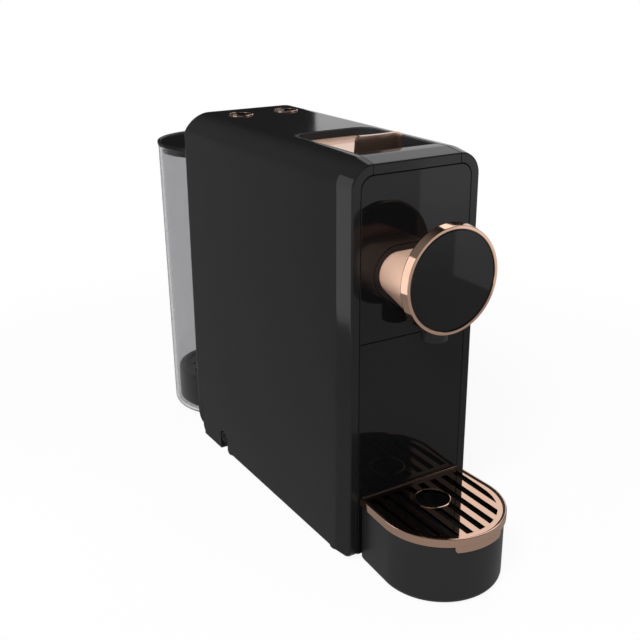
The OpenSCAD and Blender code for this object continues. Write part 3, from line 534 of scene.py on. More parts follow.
class FinishColours(bpy.types.PropertyGroup):
    housing: colour("Housing", "Satin black of the housing", (0.0095, 0.0095, 0.0098))
    panels: colour("Panels", "Piano black of the front panels", (0.0045, 0.0045, 0.0048))
    dial: colour("Dial", "Black of the dial's face", (0.003, 0.0032, 0.0032))
    tray: colour("Tray", "Black of the drip tray", (0.0125, 0.0125, 0.0125))
    inner: colour("Inner parts", "Matt black of the inner parts", (0.016, 0.016, 0.017))
    brew_unit: colour("Brew unit", "Grey of the brew unit", (0.07, 0.07, 0.075))
    rose_gold: colour("Rose gold", "Colour of the plating", (0.86, 0.56, 0.42))
    tank: colour("Tank", "Tint of the water tank", (0.51, 0.51, 0.52))


class StageSettings(bpy.types.PropertyGroup):
    azimuth: bpy.props.FloatProperty(
        name="Azimuth",
        description="Direction of the camera from the front",
        default=math.radians(-31.32),
        subtype="ANGLE",
    )
    elevation: bpy.props.FloatProperty(
        name="Elevation",
        description="How far the camera looks down",
        default=math.radians(20.633),
        subtype="ANGLE",
    )
    roll: bpy.props.FloatProperty(
        name="Roll",
        description="Tilt of the camera",
        default=math.radians(-0.29),
        subtype="ANGLE",
    )
    lens: bpy.props.FloatProperty(
        name="Lens",
        description="Focal length in millimetres",
        default=54.57,
        subtype="DISTANCE_CAMERA",
    )
    place: bpy.props.FloatVectorProperty(
        name="Place",
        description="Position of the camera",
        default=(-0.36969, -0.62039, 0.40384),
        unit="LENGTH",
    )
    ambient: bpy.props.FloatProperty(
        name="Ambient", description="Strength of the light from all round", default=0.38, min=0
    )
    sky_glow: bpy.props.FloatProperty(
        name="Sky glow", description="How bright the room is in polished surfaces", default=0.16, min=0
    )
    front_glow: bpy.props.FloatProperty(
        name="Front glow", description="How bright the floor in front is in polished surfaces", default=0.33, min=0
    )
    far_glow: bpy.props.FloatProperty(
        name="Far glow", description="How much brighter the floor becomes far in front", default=0.35, min=0
    )
    rear_glow: bpy.props.FloatProperty(
        name="Rear glow", description="How bright the floor behind is in polished surfaces", default=0.2, min=0
    )


GROUPS = {
    "housing_sizes": HousingSizes,
    "outlet_sizes": OutletSizes,
    "tray_sizes": TraySizes,
    "tank_sizes": TankSizes,
    "lever_sizes": LeverSizes,
    "finish_colours": FinishColours,
    "stage_settings": StageSettings,
}


def in_mm(group):
    """A group's sizes in millimetres."""
    sizes = getattr(bpy.context.scene, group)
    return SimpleNamespace(**{name: getattr(sizes, name) * 1000 for name in sizes.__annotations__})


# ---- housing and front ----


def drawn_in(distance, size):
    """How far the housing's edges have drawn in at a distance from the front."""
    along = max(0, 1 - distance / size.lead)
    return size.lead_drop * (along**2 / 0.24 if along < 0.12 else along - 0.06)


class COFFEE_OT_housing(bpy.types.Operator):
    """Models the housing with its soft edges, front rim, recess and button holes"""

    bl_idname = "coffee.housing"
    bl_label = "Housing"

    def execute(self, context):
        size = in_mm("housing_sizes")
        low, high = box("housing_shell")
        half, top, foot, back = high.x, high.z, low.z, high.y
        opening = box("upper_front_panel")[1]
        gap_half, gap_top = opening.x + size.seam, opening.z + size.seam
        stations = []

        def add(y, side, drop, radius=None, toe=0.0):
            round_by = radius or (size.edge_radius - side, size.edge_radius - drop)
            points = arch(half - side, top - drop, round_by, foot + toe, 10)
            stations.append([(x, y, z) for x, z in points])

        rear = size.rear_radius
        for turn in (0, 7, 14, 22, 31, 41, 52, 64, 77, 90):
            y = back - rear + rear * math.cos(math.radians(turn))
            fall = rear - rear * math.sin(math.radians(turn))
            near = max(0, y - (back - 1.5))
            side = 1.5 - math.sqrt(max(0, 1.5**2 - near**2))
            add(y, side, fall, (size.edge_radius - side - 0.35 * fall, size.edge_radius - fall))
        for y in (back - 40, back - 100, back - 150, size.lead * 2, size.lead * 1.4):
            add(y, 0, 0)
        count = 12
        for i in range(count + 1):
            y = size.lead + (size.crease - size.lead) * i / count
            toe = 5 - math.sqrt(max(0, 25 - (5 - min(y, 5)) ** 2))
            add(y, drawn_in(y, size), drawn_in(y, size), toe=toe)
        inset = drawn_in(size.crease, size)
        for turn in (30, 55, 75, 90):
            bend = size.crease * (1 - math.cos(math.radians(turn)))
            y = size.crease * (1 - math.sin(math.radians(turn)))
            add(y, inset + bend, inset + bend, toe=5 - math.sqrt(25 - (5 - y) ** 2))
        rim = size.panel_radius + size.seam
        for y, grow in ((0, 0.5), (0.08, 0.2), (0.25, 0.05), (0.5, 0), (2.6, 0)):
            add(y, half - gap_half - grow, top - gap_top - grow, rim + grow, toe=2.5 if y < 2 else 1)
        wall = size.wall
        add(2.7, wall, wall, size.edge_radius - wall)
        add(60, wall, wall, size.edge_radius - wall)
        for turn in (90, 60, 40, 20, 0):
            y = back - rear + (rear - wall) * math.cos(math.radians(turn))
            fall = rear - (rear - wall) * math.sin(math.radians(turn))
            add(y, wall, fall, (size.edge_radius - wall - 0.3 * fall, size.edge_radius - fall + 0.5))
        for y in (back - wall, back - wall + 0.1, back - 0.4):
            add(y, wall + 4, rear + 6, 3)
        add(back, wall + 3.7, rear + 5.7, 3.3)
        bm = bmesh.new()
        rows = sweep(bm, stations, closed=False)
        # The stations form a ring, so the last row joins the first
        for a, b in zip(range(len(rows[0])), range(1, len(rows[0]))):
            bm.faces.new((rows[-1][a], rows[-1][b], rows[0][b], rows[0][a]))
        for end in (0, -1):
            cap(bm, [row[end] for row in rows])
        shell = make(bm, "housing")
        cut(shell, *self.cutters(size, top, foot, back, half))
        reach, brow_end = 37, 23

        def beside_opening(edge):
            return all(
                abs(v.co.z - top) < 0.01 and abs(v.co.x) < reach and v.co.y > brow_end
                for v in edge.verts
            )

        soften(shell, size.edge, 3, beside_opening)
        settle(shell, "housing", "Satin black", "housing", "housing_shell")
        return {"FINISHED"}

    def cutters(self, size, top, foot, back, half):
        """The bodies that are cut out of the housing."""
        tools = []

        def tool(outline, direction):
            tools.append(shaped(slab, outline, direction))

        recess = box("inlet_tray")
        wide, front, rear, corner = recess[1].x + 0.25, box("brow_cover")[1].y, recess[1].y + 0.25, 13
        low = top - size.wall - 1
        outline = (
            [(wide, front)]
            + arc((wide - corner, rear - corner), corner, 0, 90, 14)
            + arc((corner - wide, rear - corner), corner, 90, 180, 14)
            + [(-wide, front)]
        )
        tool([(x, y, low) for x, y in outline], (0, 0, 20))
        flare, low = size.brow_flare, box("upper_front_panel")[1].z - 2
        narrow, broad = wide - 0.25 + size.seam, wide - 0.25 + flare + size.seam
        right = [(broad, -1), (broad, 0), (narrow, front + 0.01)]
        left = [(-x, y) for x, y in reversed(right)]
        tool([(x, y, low) for x, y in right + left], (0, 0, 20))
        for name in ("bezel_left", "bezel_right"):
            near, far = box(name)
            middle = (near + far) / 2
            ring = arc((middle.x, middle.y), (far.x - near.x) / 2 - 0.75, 0, 360, 48)[:-1]
            tool([(x, y, top - 8) for x, y in ring], (0, 0, 20))
        corner, seam = size.foot_radius, size.seam
        deep, head = size.tab_depth, foot + size.tab_height
        for side in (-1, 1):
            tab = [(1, foot - 2), (1, head), (-deep, head)]
            tab += arc((-deep - corner, foot + corner), corner, 0, -90, 8)
            tab += [(-deep - corner, foot - 2)]
            tool([(side * half - 5 * side, back + y, z) for y, z in tab], (side * 8, 0, 0))
        gland = box("cord_gland")
        y = (gland[0].y + gland[1].y) / 2
        notch = [(y + a, z) for a, z in arch(6.5, foot + 16, 6, foot - 1, 10)]
        tool([(-half - 1, a, z) for a, z in notch], (6, 0, 0))
        return tools


class COFFEE_OT_brow(bpy.types.Operator):
    """Models the bridge between the lever's recess and the front panel"""

    bl_idname = "coffee.brow"
    bl_label = "Brow"

    def execute(self, context):
        size = in_mm("housing_sizes")
        low, high = box("brow_cover")
        top, back, skin = high.z, high.y, 2.6
        under = box("upper_front_panel")[1].z + size.seam
        inset = drawn_in(size.crease, size)
        side = [(skin, under), (0, under)]
        side += arc((size.crease, top - inset - size.crease), size.crease, 180, 107, 5)
        for i in range(10, -1, -1):
            y = size.crease + (size.lead - size.crease) * (10 - i + 1) / 11
            side.append((y, top - drawn_in(y, size)))
        side += [(back, top), (back, low.z), (back - skin, low.z), (back - skin, top - size.wall)]
        side += [(skin, top - size.wall)]
        bm = bmesh.new()
        width = high.x - size.brow_flare - size.seam

        def station(sign):
            return [(sign * (width + size.brow_flare * (1 - y / back)), y, z) for y, z in side]

        rows = sweep(bm, [station(-1), station(1)])
        cap(bm, rows[0])
        cap(bm, rows[-1])
        bmesh.ops.recalc_face_normals(bm, faces=bm.faces)
        round_edges(bm, 0.3, 2, above=50)
        brow = make(bm, "brow")
        settle(brow, "housing", "Satin black", "housing", "brow_cover")
        return {"FINISHED"}


class COFFEE_OT_front_panels(bpy.types.Operator):
    """Models the two glossy panels of the front"""

    bl_idname = "coffee.front_panels"
    bl_label = "Front panels"

    def execute(self, context):
        size = in_mm("housing_sizes")
        low, high = box("upper_front_panel")
        outline = [(x, low.y, z) for x, z in arch(high.x, high.z, size.panel_radius, low.z, 12)]
        push = (0, high.y - low.y, 0)
        upper = shaped(slab, outline, push, name="upper_panel", rounding=(0.45, 3))
        hole = outlet(in_mm("outlet_sizes").collar + 0.25)
        cut(upper, shaped(slab, [(x, -2, z) for x, z in hole], (0, 8, 0)))
        settle(upper, "housing", "Piano black", "panel", "upper_front_panel")

        lower = shaped(block, *box("lower_front_panel"), name="lower_panel", rounding=(0.45, 3))
        # Slots for the hooks that hold the drip tray
        hooks = [((x - 3.2, -2, 33.8), (x + 3.2, 4, 40.2)) for x in (-23, 23)]
        cut(lower, *[shaped(block, *corners) for corners in hooks])
        settle(lower, "drawer", "Piano black", "panel", "lower_front_panel")
        return {"FINISHED"}


# ---- outlet and dial ----


class COFFEE_OT_outlet(bpy.types.Operator):
    """Models the collar, the arm that carries the dial, and the coffee nozzle"""

    bl_idname = "coffee.outlet"
    bl_label = "Outlet"

    def execute(self, context):
        size = in_mm("outlet_sizes")
        back, grow = box("outlet_collar")[1].y, size.collar
        bm = bmesh.new()
        loops = [(back, grow), (0.5, grow), (0.15, grow - 0.12), (0, grow - 0.45)]
        loops += [(0, 0.65), (0.12, 0.3), (0.5, 0.12), (back, 0.12)]
        sweep(bm, [[(x, y, z) for x, z in outlet(g, 18)] for y, g in loops])
        bmesh.ops.bridge_loops(bm, edges=[e for e in bm.edges if e.is_boundary])
        collar = make(bm, "collar")
        settle(collar, "housing", "Piano black", "panel", "outlet_collar")

        low, high = box("outlet_arm")
        bm = bmesh.new()
        loops = [(low.y + 0.02, -1.4), (low.y + 0.02, 0), (high.y, 0)]
        rows = sweep(bm, [[(x, y, z) for x, z in outlet(g, 18)] for y, g in loops])
        cap(bm, rows[0])
        cap(bm, rows[-1])
        arm = make(bm, "outlet_arm")
        settle(arm, "housing", "Rose gold satin", "rose_gold", "outlet_arm")

        low, high = box("coffee_nozzle")
        middle, radius = (low + high) / 2, high.x
        bore, lip = radius - 2.5, 0.8
        profile = [(3, high.z + 1), (3, low.z + 5), (bore, low.z + 5), (bore, low.z + 0.5)]
        profile += [(bore + 0.4, low.z), (radius - lip, low.z)]
        profile += arc((radius - lip, low.z + lip), lip, -90, 0, 4)[1:]
        profile += [(radius, high.z + 1)]
        profile = [(r, z - middle.z) for r, z in profile]
        nozzle = shaped(lathe, profile, middle, (0, 0, 1), 72, name="nozzle")
        settle(nozzle, "housing", "Matt black", "dark_plastic", "coffee_nozzle")
        return {"FINISHED"}


class COFFEE_OT_dial(bpy.types.Operator):
    """Models the dial: a polished ring with a black face"""

    bl_idname = "coffee.dial"
    bl_label = "Dial"

    def execute(self, context):
        size = in_mm("outlet_sizes")
        low, high = box("dial_rim")
        centre = (0, 0, (low.z + high.z) / 2)
        radius, front, back = high.x, low.y, high.y
        inner, dish = radius - size.dial_taper - size.dial_lip, size.dial_dish
        profile = [(0.0, back), (radius - 1.6, back)]
        profile += arc((radius - 1.6, back - 1.6), 1.6, 90, 0, 6)[1:]
        profile += arc((radius - size.dial_taper - 0.4, front + 0.4), 0.4, 0, -90, 5)
        profile += [(inner + 0.25, front), (inner, front + 0.25)]
        profile += [(inner, back - 2), (0.0, back - 2)]
        ring = shaped(lathe, profile, centre, (0, 1, 0), 160, name="dial_ring")
        settle(ring, "housing", "Rose gold", "rose_gold", "dial_rim", angle=40)

        front = front + dish
        edge = inner - 0.12
        profile = [(0.0, front), (edge - 1.1, front), (edge - 0.8, front + 0.08)]
        profile += [(edge - 0.5, front + 0.35), (edge, front + 0.4)]
        profile += [(edge, back - 2), (0.0, back - 2)]
        plate = shaped(lathe, profile, centre, (0, 1, 0), 160, name="dial_face")
        settle(plate, "housing", "Dial black", "panel", "dial_face")
        return {"FINISHED"}


# ---- top ----


class COFFEE_OT_lever(bpy.types.Operator):
    """Models the lever: a ribbed plate with an upright, gently curved grip"""

    bl_idname = "coffee.lever"
    bl_label = "Lever"

    def execute(self, context):
        size = in_mm("lever_sizes")
        low, high = box("lever")
        half, front = high.x, low.y
        pin = box("hinge_pin")
        hinge = (pin[0] + pin[1]) / 2
        boss = 5.0
        top = hinge.z + boss + 0.1
        bm = bmesh.new()
        # The plate's long section, with ribs over its rear half
        section = [(front + 1.2, top - size.plate), (hinge.y - boss, top - size.plate)]
        section += arc((hinge.y, hinge.z), boss, 180, 450, 20)
        ribs_from = hinge.y - 26
        y = hinge.y - 2
        while y - size.rib > ribs_from:
            section += [(y, top), (y - 1.6, top), (y - 2.0, top - 1)]
            section += [(y - 3.0, top - 1), (y - 3.4, top)]
            y -= size.rib
        section += [(front + 1.2, top)]
        rows = sweep(bm, [[(x, y, z) for y, z in section] for x in (-half + 0.4, half - 0.4)])
        cap(bm, rows[0])
        cap(bm, rows[-1])
        plate = make(bm, "lever_plate")
        bore = [(0, -half - 2), (2.0, -half - 2), (2.0, half + 2), (0, half + 2)]
        cut(plate, shaped(lathe, bore, hinge, (1, 0, 0), 48))
        settle(plate, "lever", "Rose gold lever", "rose_gold", "lever")

        # The grip, a sheet that bends forward in its middle and is then made thick
        tall, columns, r = high.z - top, 24, 3.5
        stand = half - 0.9 - r
        corner = arc((stand, tall - r), r, 10, 90, 8)
        outline = [(half, -size.plate), (half - 0.4, 0.0), *corner]

        def reach(z):
            """Half the grip's width at a height above the plate."""
            for (x0, z0), (x1, z1) in zip(outline, outline[1:]):
                if z0 <= z <= z1:
                    return x0 + (x1 - x0) * (z - z0) / (z1 - z0)
            return outline[-1][0]

        rows = []
        for z in (-size.plate, 0, 2, 4, *[z for x, z in corner]):
            wide, lean = reach(z), 0.1 - 0.02 * z
            steps = [wide * (2 * i / columns - 1) for i in range(columns + 1)]
            rows.append([(x, front + size.bulge * (x / half) ** 2 + lean, top + z) for x in steps])
        bm = bmesh.new()
        sweep(bm, rows, closed=False)
        bmesh.ops.solidify(bm, geom=list(bm.faces), thickness=size.grip * 0.82)
        bmesh.ops.recalc_face_normals(bm, faces=bm.faces)
        near = min(v.co.y for v in bm.verts)
        bmesh.ops.translate(bm, verts=bm.verts, vec=(0, max(0, front - near), 0))
        round_edges(bm, 0.8, 4, above=50)
        grip = make(bm, "lever_grip")
        settle(grip, "lever", "Rose gold grip", "rose_gold", angle=40)
        return {"FINISHED"}


class COFFEE_OT_buttons(bpy.types.Operator):
    """Models the two dished buttons and their bright bezels"""

    bl_idname = "coffee.buttons"
    bl_label = "Buttons"

    def execute(self, context):
        for side in ("left", "right"):
            low, high = box("bezel_" + side)
            centre = Vector(((low.x + high.x) / 2, (low.y + high.y) / 2, 0))
            radius, top, under = (high.x - low.x) / 2, high.z, low.z
            hole = radius - 1.6
            seat = top - 0.8
            profile = [(hole, under), (hole, top - 0.35)]
            profile += arc((hole + 0.35, top - 0.35), 0.35, 180, 90, 4)[1:]
            profile += arc((radius - 0.6, top - 0.6), 0.6, 90, 0, 5)
            profile += [(radius, seat), (radius - 0.85, seat), (radius - 0.85, under)]
            ring = shaped(lathe, profile, centre, (0, 0, 1), name="bezel_ring_" + side)
            settle(ring, "housing", "Rose gold", "rose_gold", "bezel_" + side, angle=45)

            low, high = box("button_" + side)
            radius, crown = hole - 0.3, high.z
            collar = radius + 1.2
            profile = [(0, low.z), (2.5, low.z), (2.5, crown - 10.2), (collar, crown - 10.2)]
            profile += [(collar, crown - 8.2), (radius, crown - 8.2), (radius, crown - 0.6)]
            profile += arc((radius - 0.6, crown - 0.6), 0.6, 0, 90, 4)[1:]
            dish = [(0.8, 0.35), (0.6, 0.8), (0.4, 1.12), (0.2, 1.28), (0.0, 1.33)]
            profile += [(radius * a, crown - d) for a, d in dish]
            button = shaped(lathe, profile, centre, (0, 0, 1), name="button_cap_" + side)
            settle(button, "button_" + side, "Piano black", "panel", "button_" + side)
        return {"FINISHED"}


# ---- drip tray ----


class COFFEE_OT_drip_tray(bpy.types.Operator):
    """Models the tray body and the bright band with its pull tab"""

    bl_idname = "coffee.drip_tray"
    bl_label = "Drip tray"

    def execute(self, context):
        size = in_mm("tray_sizes")
        low, high = box("drip_tray")
        outer, bottom, top = size.band + 0.2, low.z, high.z
        loops = []
        r = size.low_radius
        for turn in (0, 12, 24, 36, 48, 60, 72, 82, 90):
            a = math.radians(turn)
            loops.append((outer + r * (1 - math.sin(a)), bottom + r * (1 - math.cos(a))))
        loops += [(outer, 20), (outer, top - 6), (outer, top)]
        inner = outer + size.wall
        loops += [(inner, top), (inner, 12)]
        loops += [(inner + 0.6, 8.5), (inner + 2.2, bottom + 4)]
        loops += [(inner + 4.5, bottom + size.wall + 1)]
        bm = bmesh.new()
        rows = sweep(bm, [[(x, y, z) for x, y in tray_plan(i)] for i, z in loops])
        cap(bm, rows[0])
        cap(bm, rows[-1])
        bmesh.ops.recalc_face_normals(bm, faces=bm.faces)
        corners = [
            e
            for e in bm.edges
            if e.is_manifold
            and abs(e.verts[0].co.z - e.verts[1].co.z) > 0.4
            and min(v.co.y for v in e.verts) > -20
            and e.calc_face_angle(0) > 0.5
        ]
        round_edges(bm, 1.4, 4, edges=corners)
        for x in (-1, 1):
            block(bm, (x * 23 - 3, -outer - 1.2, 34), (x * 23 + 3, 2.1, 40))
        tray = make(bm, "tray_body")
        settle(tray, "drawer", "Tray black", "dark_plastic", "drip_tray")

        top = box("tray_band")[1].z
        under = top - size.band_height
        t = size.band
        loops = [(t, under), (0.25, under), (0.06, under + 0.1), (0, under + 0.4), (0, top - 0.5)]
        loops += [(0.15, top - 0.12), (0.5, top), (t - 0.15, top), (t, top - 0.2), (t, top - 0.9)]
        bm = bmesh.new()
        sweep(bm, [[(x, y, z) for x, y in tray_plan(i, 96)] for i, z in loops])
        bmesh.ops.bridge_loops(bm, edges=[e for e in bm.edges if e.is_boundary])
        # The seat that carries the grid, inside the band
        near, far, seat_top = t - 0.02, t + 1.1, top - 0.95
        seat = [(near, top - 3.1), (far, top - 3.1), (far, seat_top), (near, seat_top)]
        ledge = bmesh.new()
        sweep(ledge, [[(x, y, z) for x, y in tray_plan(i, 96)] for i, z in seat])
        bmesh.ops.bridge_loops(ledge, edges=[e for e in ledge.edges if e.is_boundary])
        ledge_piece = make(ledge, "grid_seat")
        settle(ledge_piece, "drawer", "Matt black", "dark_plastic")
        band = make(bm, "tray_band")
        settle(band, "drawer", "Rose gold", "rose_gold", "tray_band", angle=50)

        # The tab follows the band round the front, and its lower corners are round
        pairs = zip(tray_plan(0, 96), tray_plan(t, 96))
        pairs = [(a, b) for a, b in pairs if abs(a[0]) < size.tab_half and a[1] < -52]
        pairs.sort(key=lambda pair: pair[0][0])
        spots = [0]
        for (a, _), (c, _) in zip(pairs, pairs[1:]):
            spots.append(spots[-1] + math.dist(a, c))
        corner, over = 2.2, under + 0.5
        sections = []
        for (a, b), along in zip(pairs, spots):
            near = min(along, spots[-1] - along)
            lift = corner - math.sqrt(max(0, corner**2 - max(0, corner - near) ** 2))
            base = under - size.tab_drop + lift
            edge = (a[0] * 0.996, a[1] * 0.998, base)
            sections.append([(*a, over), (*a, base + 0.2), edge, (*b, base), (*b, over)])
        bm = bmesh.new()
        rows = sweep(bm, sections)
        cap(bm, rows[0])
        cap(bm, rows[-1])
        tab = make(bm, "pull_tab")
        settle(tab, "drawer", "Rose gold", "rose_gold", angle=50)
        return {"FINISHED"}


class COFFEE_OT_drip_grid(bpy.types.Operator):
    """Models the polished grid with its slots and round hole"""

    bl_idname = "coffee.drip_grid"
    bl_label = "Drip grid"

    def execute(self, context):
        size = in_mm("tray_sizes")
        high = box("drip_grid")[1]
        inset = size.band + 1.4
        ring = size.hole + 1.6
        top, thick = high.z - 0.5, 2.2
        outline = [(x, y, top - thick) for x, y in tray_plan(inset, 64)]
        grid = shaped(slab, outline, (0, 0, thick), name="grid_plate", rounding=(0.3, 2))
        tools = []
        limit = tray_plan(size.margin, 96)
        back = limit[0][1]
        slots = 8
        for i in range(slots):
            middle = (i - (slots - 1) / 2) * size.pitch
            near = middle - size.slot / 2, middle + size.slot / 2
            inside = [p for p in limit[1:-1] if near[0] < p[0] < near[1]]
            ends = [(x, self.front_at(limit, x)) for x in near]
            outline = [(near[0], back), (near[1], back), ends[1]]
            outline += sorted((p for p in inside if p[1] < -30), reverse=True) + [ends[0]]
            tools.append(shaped(slab, [(x, y, top - 5) for x, y in outline], (0, 0, 8)))
        cut(grid, *tools)

        def beside_slot(edge):
            return all(abs(v.co.z - top) < 0.01 for v in edge.verts) and not self.rim(edge, inset)

        soften(grid, 0.28, 2, beside_slot)
        # The collar round the hole fills the slots beside it again
        hole = arc((0, -size.hole_back), size.hole, 0, 360, 96)[:-1]
        cut(grid, shaped(slab, [(x, y, top - 5) for x, y in hole], (0, 0, 8)))
        settle(grid, "drip_grid", "Rose gold mirror", "rose_gold", "drip_grid")
        collar = [(size.hole, top - thick), (size.hole, high.z - 0.25), (size.hole + 0.25, high.z)]
        collar += [(ring - 0.5, high.z), (ring, high.z - 0.4), (ring, top - thick)]
        place = (0, -size.hole_back, 0)
        piece = shaped(lathe, collar, place, (0, 0, 1), name="grid_collar")
        settle(piece, "drip_grid", "Rose gold mirror", "rose_gold", angle=50)
        return {"FINISHED"}

    def front_at(self, outline, x):
        """Where the round front of an outline is, at a distance from the middle."""
        front = sorted(p for p in outline[1:-1] if p[1] < -28)
        for (x0, y0), (x1, y1) in zip(front, front[1:]):
            if x0 <= x <= x1 and x1 > x0:
                return y0 + (y1 - y0) * (x - x0) / (x1 - x0)
        return -30.0

    def rim(self, edge, inset):
        """Whether an edge lies on the grid's outer outline."""
        size = in_mm("tray_sizes")
        centre = Vector((0, size.front_radius - size.reach))
        for v in edge.verts:
            away = (v.co.xy - centre).length
            beside = v.co.y > centre.y and abs(v.co.x) > size.half_width - inset - 1.2
            if not (away > size.front_radius - inset - 0.6 and v.co.y < centre.y + 2 or beside):
                return v.co.y > -size.gap - inset - 1
        return True


# ---- water tank ----


class COFFEE_OT_water_tank(bpy.types.Operator):
    """Models the clear tank with its thin wall and the raised floor over the dock; its lid and the filter cup
    inside come from their own operators
    """

    bl_idname = "coffee.water_tank"
    bl_label = "Water tank"

    def execute(self, context):
        size = in_mm("tank_sizes")
        low, high = box("water_tank")
        radius, top, bottom = high.x, high.z, low.z
        centre = Vector((0, (low.y + high.y) / 2, 0))
        foot = radius - size.draft
        r, wall = size.low_radius, size.wall
        profile = [(0.0, bottom), (foot - r, bottom)]
        profile += arc((foot - r, bottom + r), r, -90, 0, 10)[1:]
        profile += [(radius, top - 0.6), (radius - 0.3, top), (radius - wall + 0.3, top)]
        profile += [(radius - wall, top - 0.4), (foot - wall, bottom + r)]
        profile += arc((foot - r, bottom + r), r - wall, 0, -90, 8)[1:]
        profile += [(0.0, bottom + wall)]
        tank = shaped(lathe, profile, centre, (0, 0, 1), 144, name="tank_body")
        dock = box("tank_dock")
        wide, rear, roof = dock[1].x + 1, dock[1].y + 1, 5.6
        corners = (-wide, centre.y - 60, -2), (wide, rear, roof)
        cut(tank, shaped(block, *corners, rounding=(1, 2)))
        settle(tank, "water_tank", "Smoke clear", "smoke_clear", "water_tank")
        # The raised floor over the dock
        corners = (-wide - 2, centre.y - foot + 5, roof), (wide + 2, rear + 2, roof + 2)
        floor = shaped(block, *corners, name="tank_step", rounding=(0.8, 2))
        valve = box("tank_valve")
        spot, hole = (valve[0] + valve[1]) / 2, 8.05
        bore = [(0, -9), (hole, -9), (hole, 9), (0, 9)]
        cut(floor, shaped(lathe, bore, (spot.x, spot.y, roof), (0, 0, 1), 48))
        settle(floor, "water_tank", "Smoke clear", "smoke_clear")
        return {"FINISHED"}


class COFFEE_OT_tank_lid(bpy.types.Operator):
    """Models the lid with its raised rim and inner skirt"""

    bl_idname = "coffee.tank_lid"
    bl_label = "Tank lid"

    def execute(self, context):
        size = in_mm("tank_sizes")
        low, high = box("tank_lid")
        radius, top = high.x, high.z
        centre = Vector((0, (low.y + high.y) / 2, 0))
        under = top - size.lid
        skirt = radius - 0.7 - size.wall - 0.5
        profile = [(0.0, top - 0.9), (radius - 3.2, top - 0.9), (radius - 2.6, top - 0.7)]
        profile += [(radius - 2.1, top - 0.15), (radius - 1.7, top)]
        profile += arc((radius - 0.9, top - 0.9), 0.9, 90, 0, 5)
        profile += arc((radius - 0.6, under + 0.6), 0.6, 0, -90, 3)
        profile += [(skirt, under), (skirt, low.z + 0.4), (skirt - 0.3, low.z)]
        profile += [(skirt - 1.5, low.z), (skirt - 1.8, low.z + 0.4), (skirt - 1.8, under)]
        profile += [(0.0, under)]
        lid = shaped(lathe, profile, centre, (0, 0, 1), 144, name="lid")
        settle(lid, "tank_lid", "Lid black", "panel", "tank_lid")
        return {"FINISHED"}


class COFFEE_OT_filter_cup(bpy.types.Operator):
    """Models the dark filter cup that stands in the bottom of the tank"""

    bl_idname = "coffee.filter_cup"
    bl_label = "Filter cup"

    def execute(self, context):
        low, high = box("filter_cup")
        radius = high.x
        centre = Vector((0, (low.y + high.y) / 2, 0))
        roof = box("tank_valve")[0].z + 2.5
        profile = [(0.0, roof), (radius - 9, roof), (radius - 8, low.z), (radius - 6, low.z)]
        profile += arc((radius - 6, low.z + 6), 6, -90, 0, 7)[1:]
        profile += [(radius, high.z - 1.2), (radius - 0.4, high.z - 0.3), (radius - 1.4, high.z)]
        profile += [(radius - 5, high.z), (radius - 6, high.z - 0.8), (radius - 7, high.z - 2.2)]
        profile += [(0.0, high.z - 2.2)]
        cup = shaped(lathe, profile, centre, (0, 0, 1), 120, name="strainer_cup")
        foot, head, hole = high.z - 8, high.z + 2, 2.5
        bore = [(0, foot), (hole, foot), (hole, head), (0, head)]
        spots = arc(centre, radius - 14, 0, 360, 12)[:-1]
        cut(cup, *[shaped(lathe, bore, (x, y, 0), (0, 0, 1), 24) for x, y in spots])
        settle(cup, "water_tank", "Matt black", "dark_plastic", "filter_cup")
        return {"FINISHED"}


# ---- rear, feet and inner parts ----


class COFFEE_OT_rear_cover(bpy.types.Operator):
    """Models the rear cover with its vents and the corner pieces below it"""

    bl_idname = "coffee.rear_cover"
    bl_label = "Rear cover"

    def execute(self, context):
        size = in_mm("housing_sizes")
        low, high = box("rear_cover")
        shell = box("housing_shell")
        plate_back = shell[1].y - 3
        half, thick = 49.3, 2.5
        outline = arch(half, high.z, 8, low.z + 5.5 if low.z < 6 else low.z, 10)
        outline = [(x, plate_back - thick, z) for x, z in outline]
        cover = shaped(slab, outline, (0, thick, 0), name="rear_plate", rounding=(0.4, 2))
        near, far = plate_back - 4, plate_back + 2
        vents, pitch, first, gap = 7, 8, 150, 3
        tools = []
        for i in range(vents):
            z = first + pitch * i
            tools.append(shaped(block, (-20, near, z), (20, far, z + gap), rounding=(1.2, 3, 60)))
        # Way out for the tank's dock
        tools.append(shaped(block, (-14, near, -2), (14, far, 14)))
        cut(cover, *tools)
        settle(cover, "housing", "Matt black", "housing", "rear_cover")
        outer, back, foot, thick_corner = shell[1].x, shell[1].y, shell[0].z + 7, 3.3
        deep, head = size.tab_depth - size.seam, shell[0].z + size.tab_height - size.seam
        for name, side in (("left", -1), ("right", 1)):
            outline = [(back, head), (back - deep, head)]
            outline += arc((back - deep, foot + 12), (deep, 12), 270, 360, 10)
            outline = [(side * (outer - thick_corner), y, z) for y, z in outline]
            push, label = (side * thick_corner, 0, 0), "rear_corner_" + name
            corner = shaped(slab, outline, push, name=label, rounding=(0.5, 3))
            settle(corner, "housing", "Satin black", "housing")
        return {"FINISHED"}


class COFFEE_OT_feet(bpy.types.Operator):
    """Models the four rubber feet"""

    bl_idname = "coffee.feet"
    bl_label = "Feet"

    def execute(self, context):
        low, high = box("feet")
        radius, tall = 7.5, 4.5
        xs = (low.x + radius, high.x - radius)
        ys = (low.y + radius, high.y - radius)
        bm = bmesh.new()
        for x in xs:
            for y in ys:
                part = bmesh.new()
                profile = [(0.0, 0.0), (2.6, 0.0), (3.2, 0.7), (5.0, 0.7), (5.6, 0.0)]
                profile += arc((radius - 0.8, 0.8), 0.8, -90, 0, 4)
                profile += [(radius, tall), (0.0, tall)]
                lathe(part, profile, (x, y, 0), (0, 0, 1), 40)
                mesh = bpy.data.meshes.new("foot")
                part.to_mesh(mesh)
                part.free()
                bm.from_mesh(mesh)
                bpy.data.meshes.remove(mesh)
        feet = make(bm, "rubber_feet")
        settle(feet, "housing", "Rubber", "rubber", "feet")
        return {"FINISHED"}


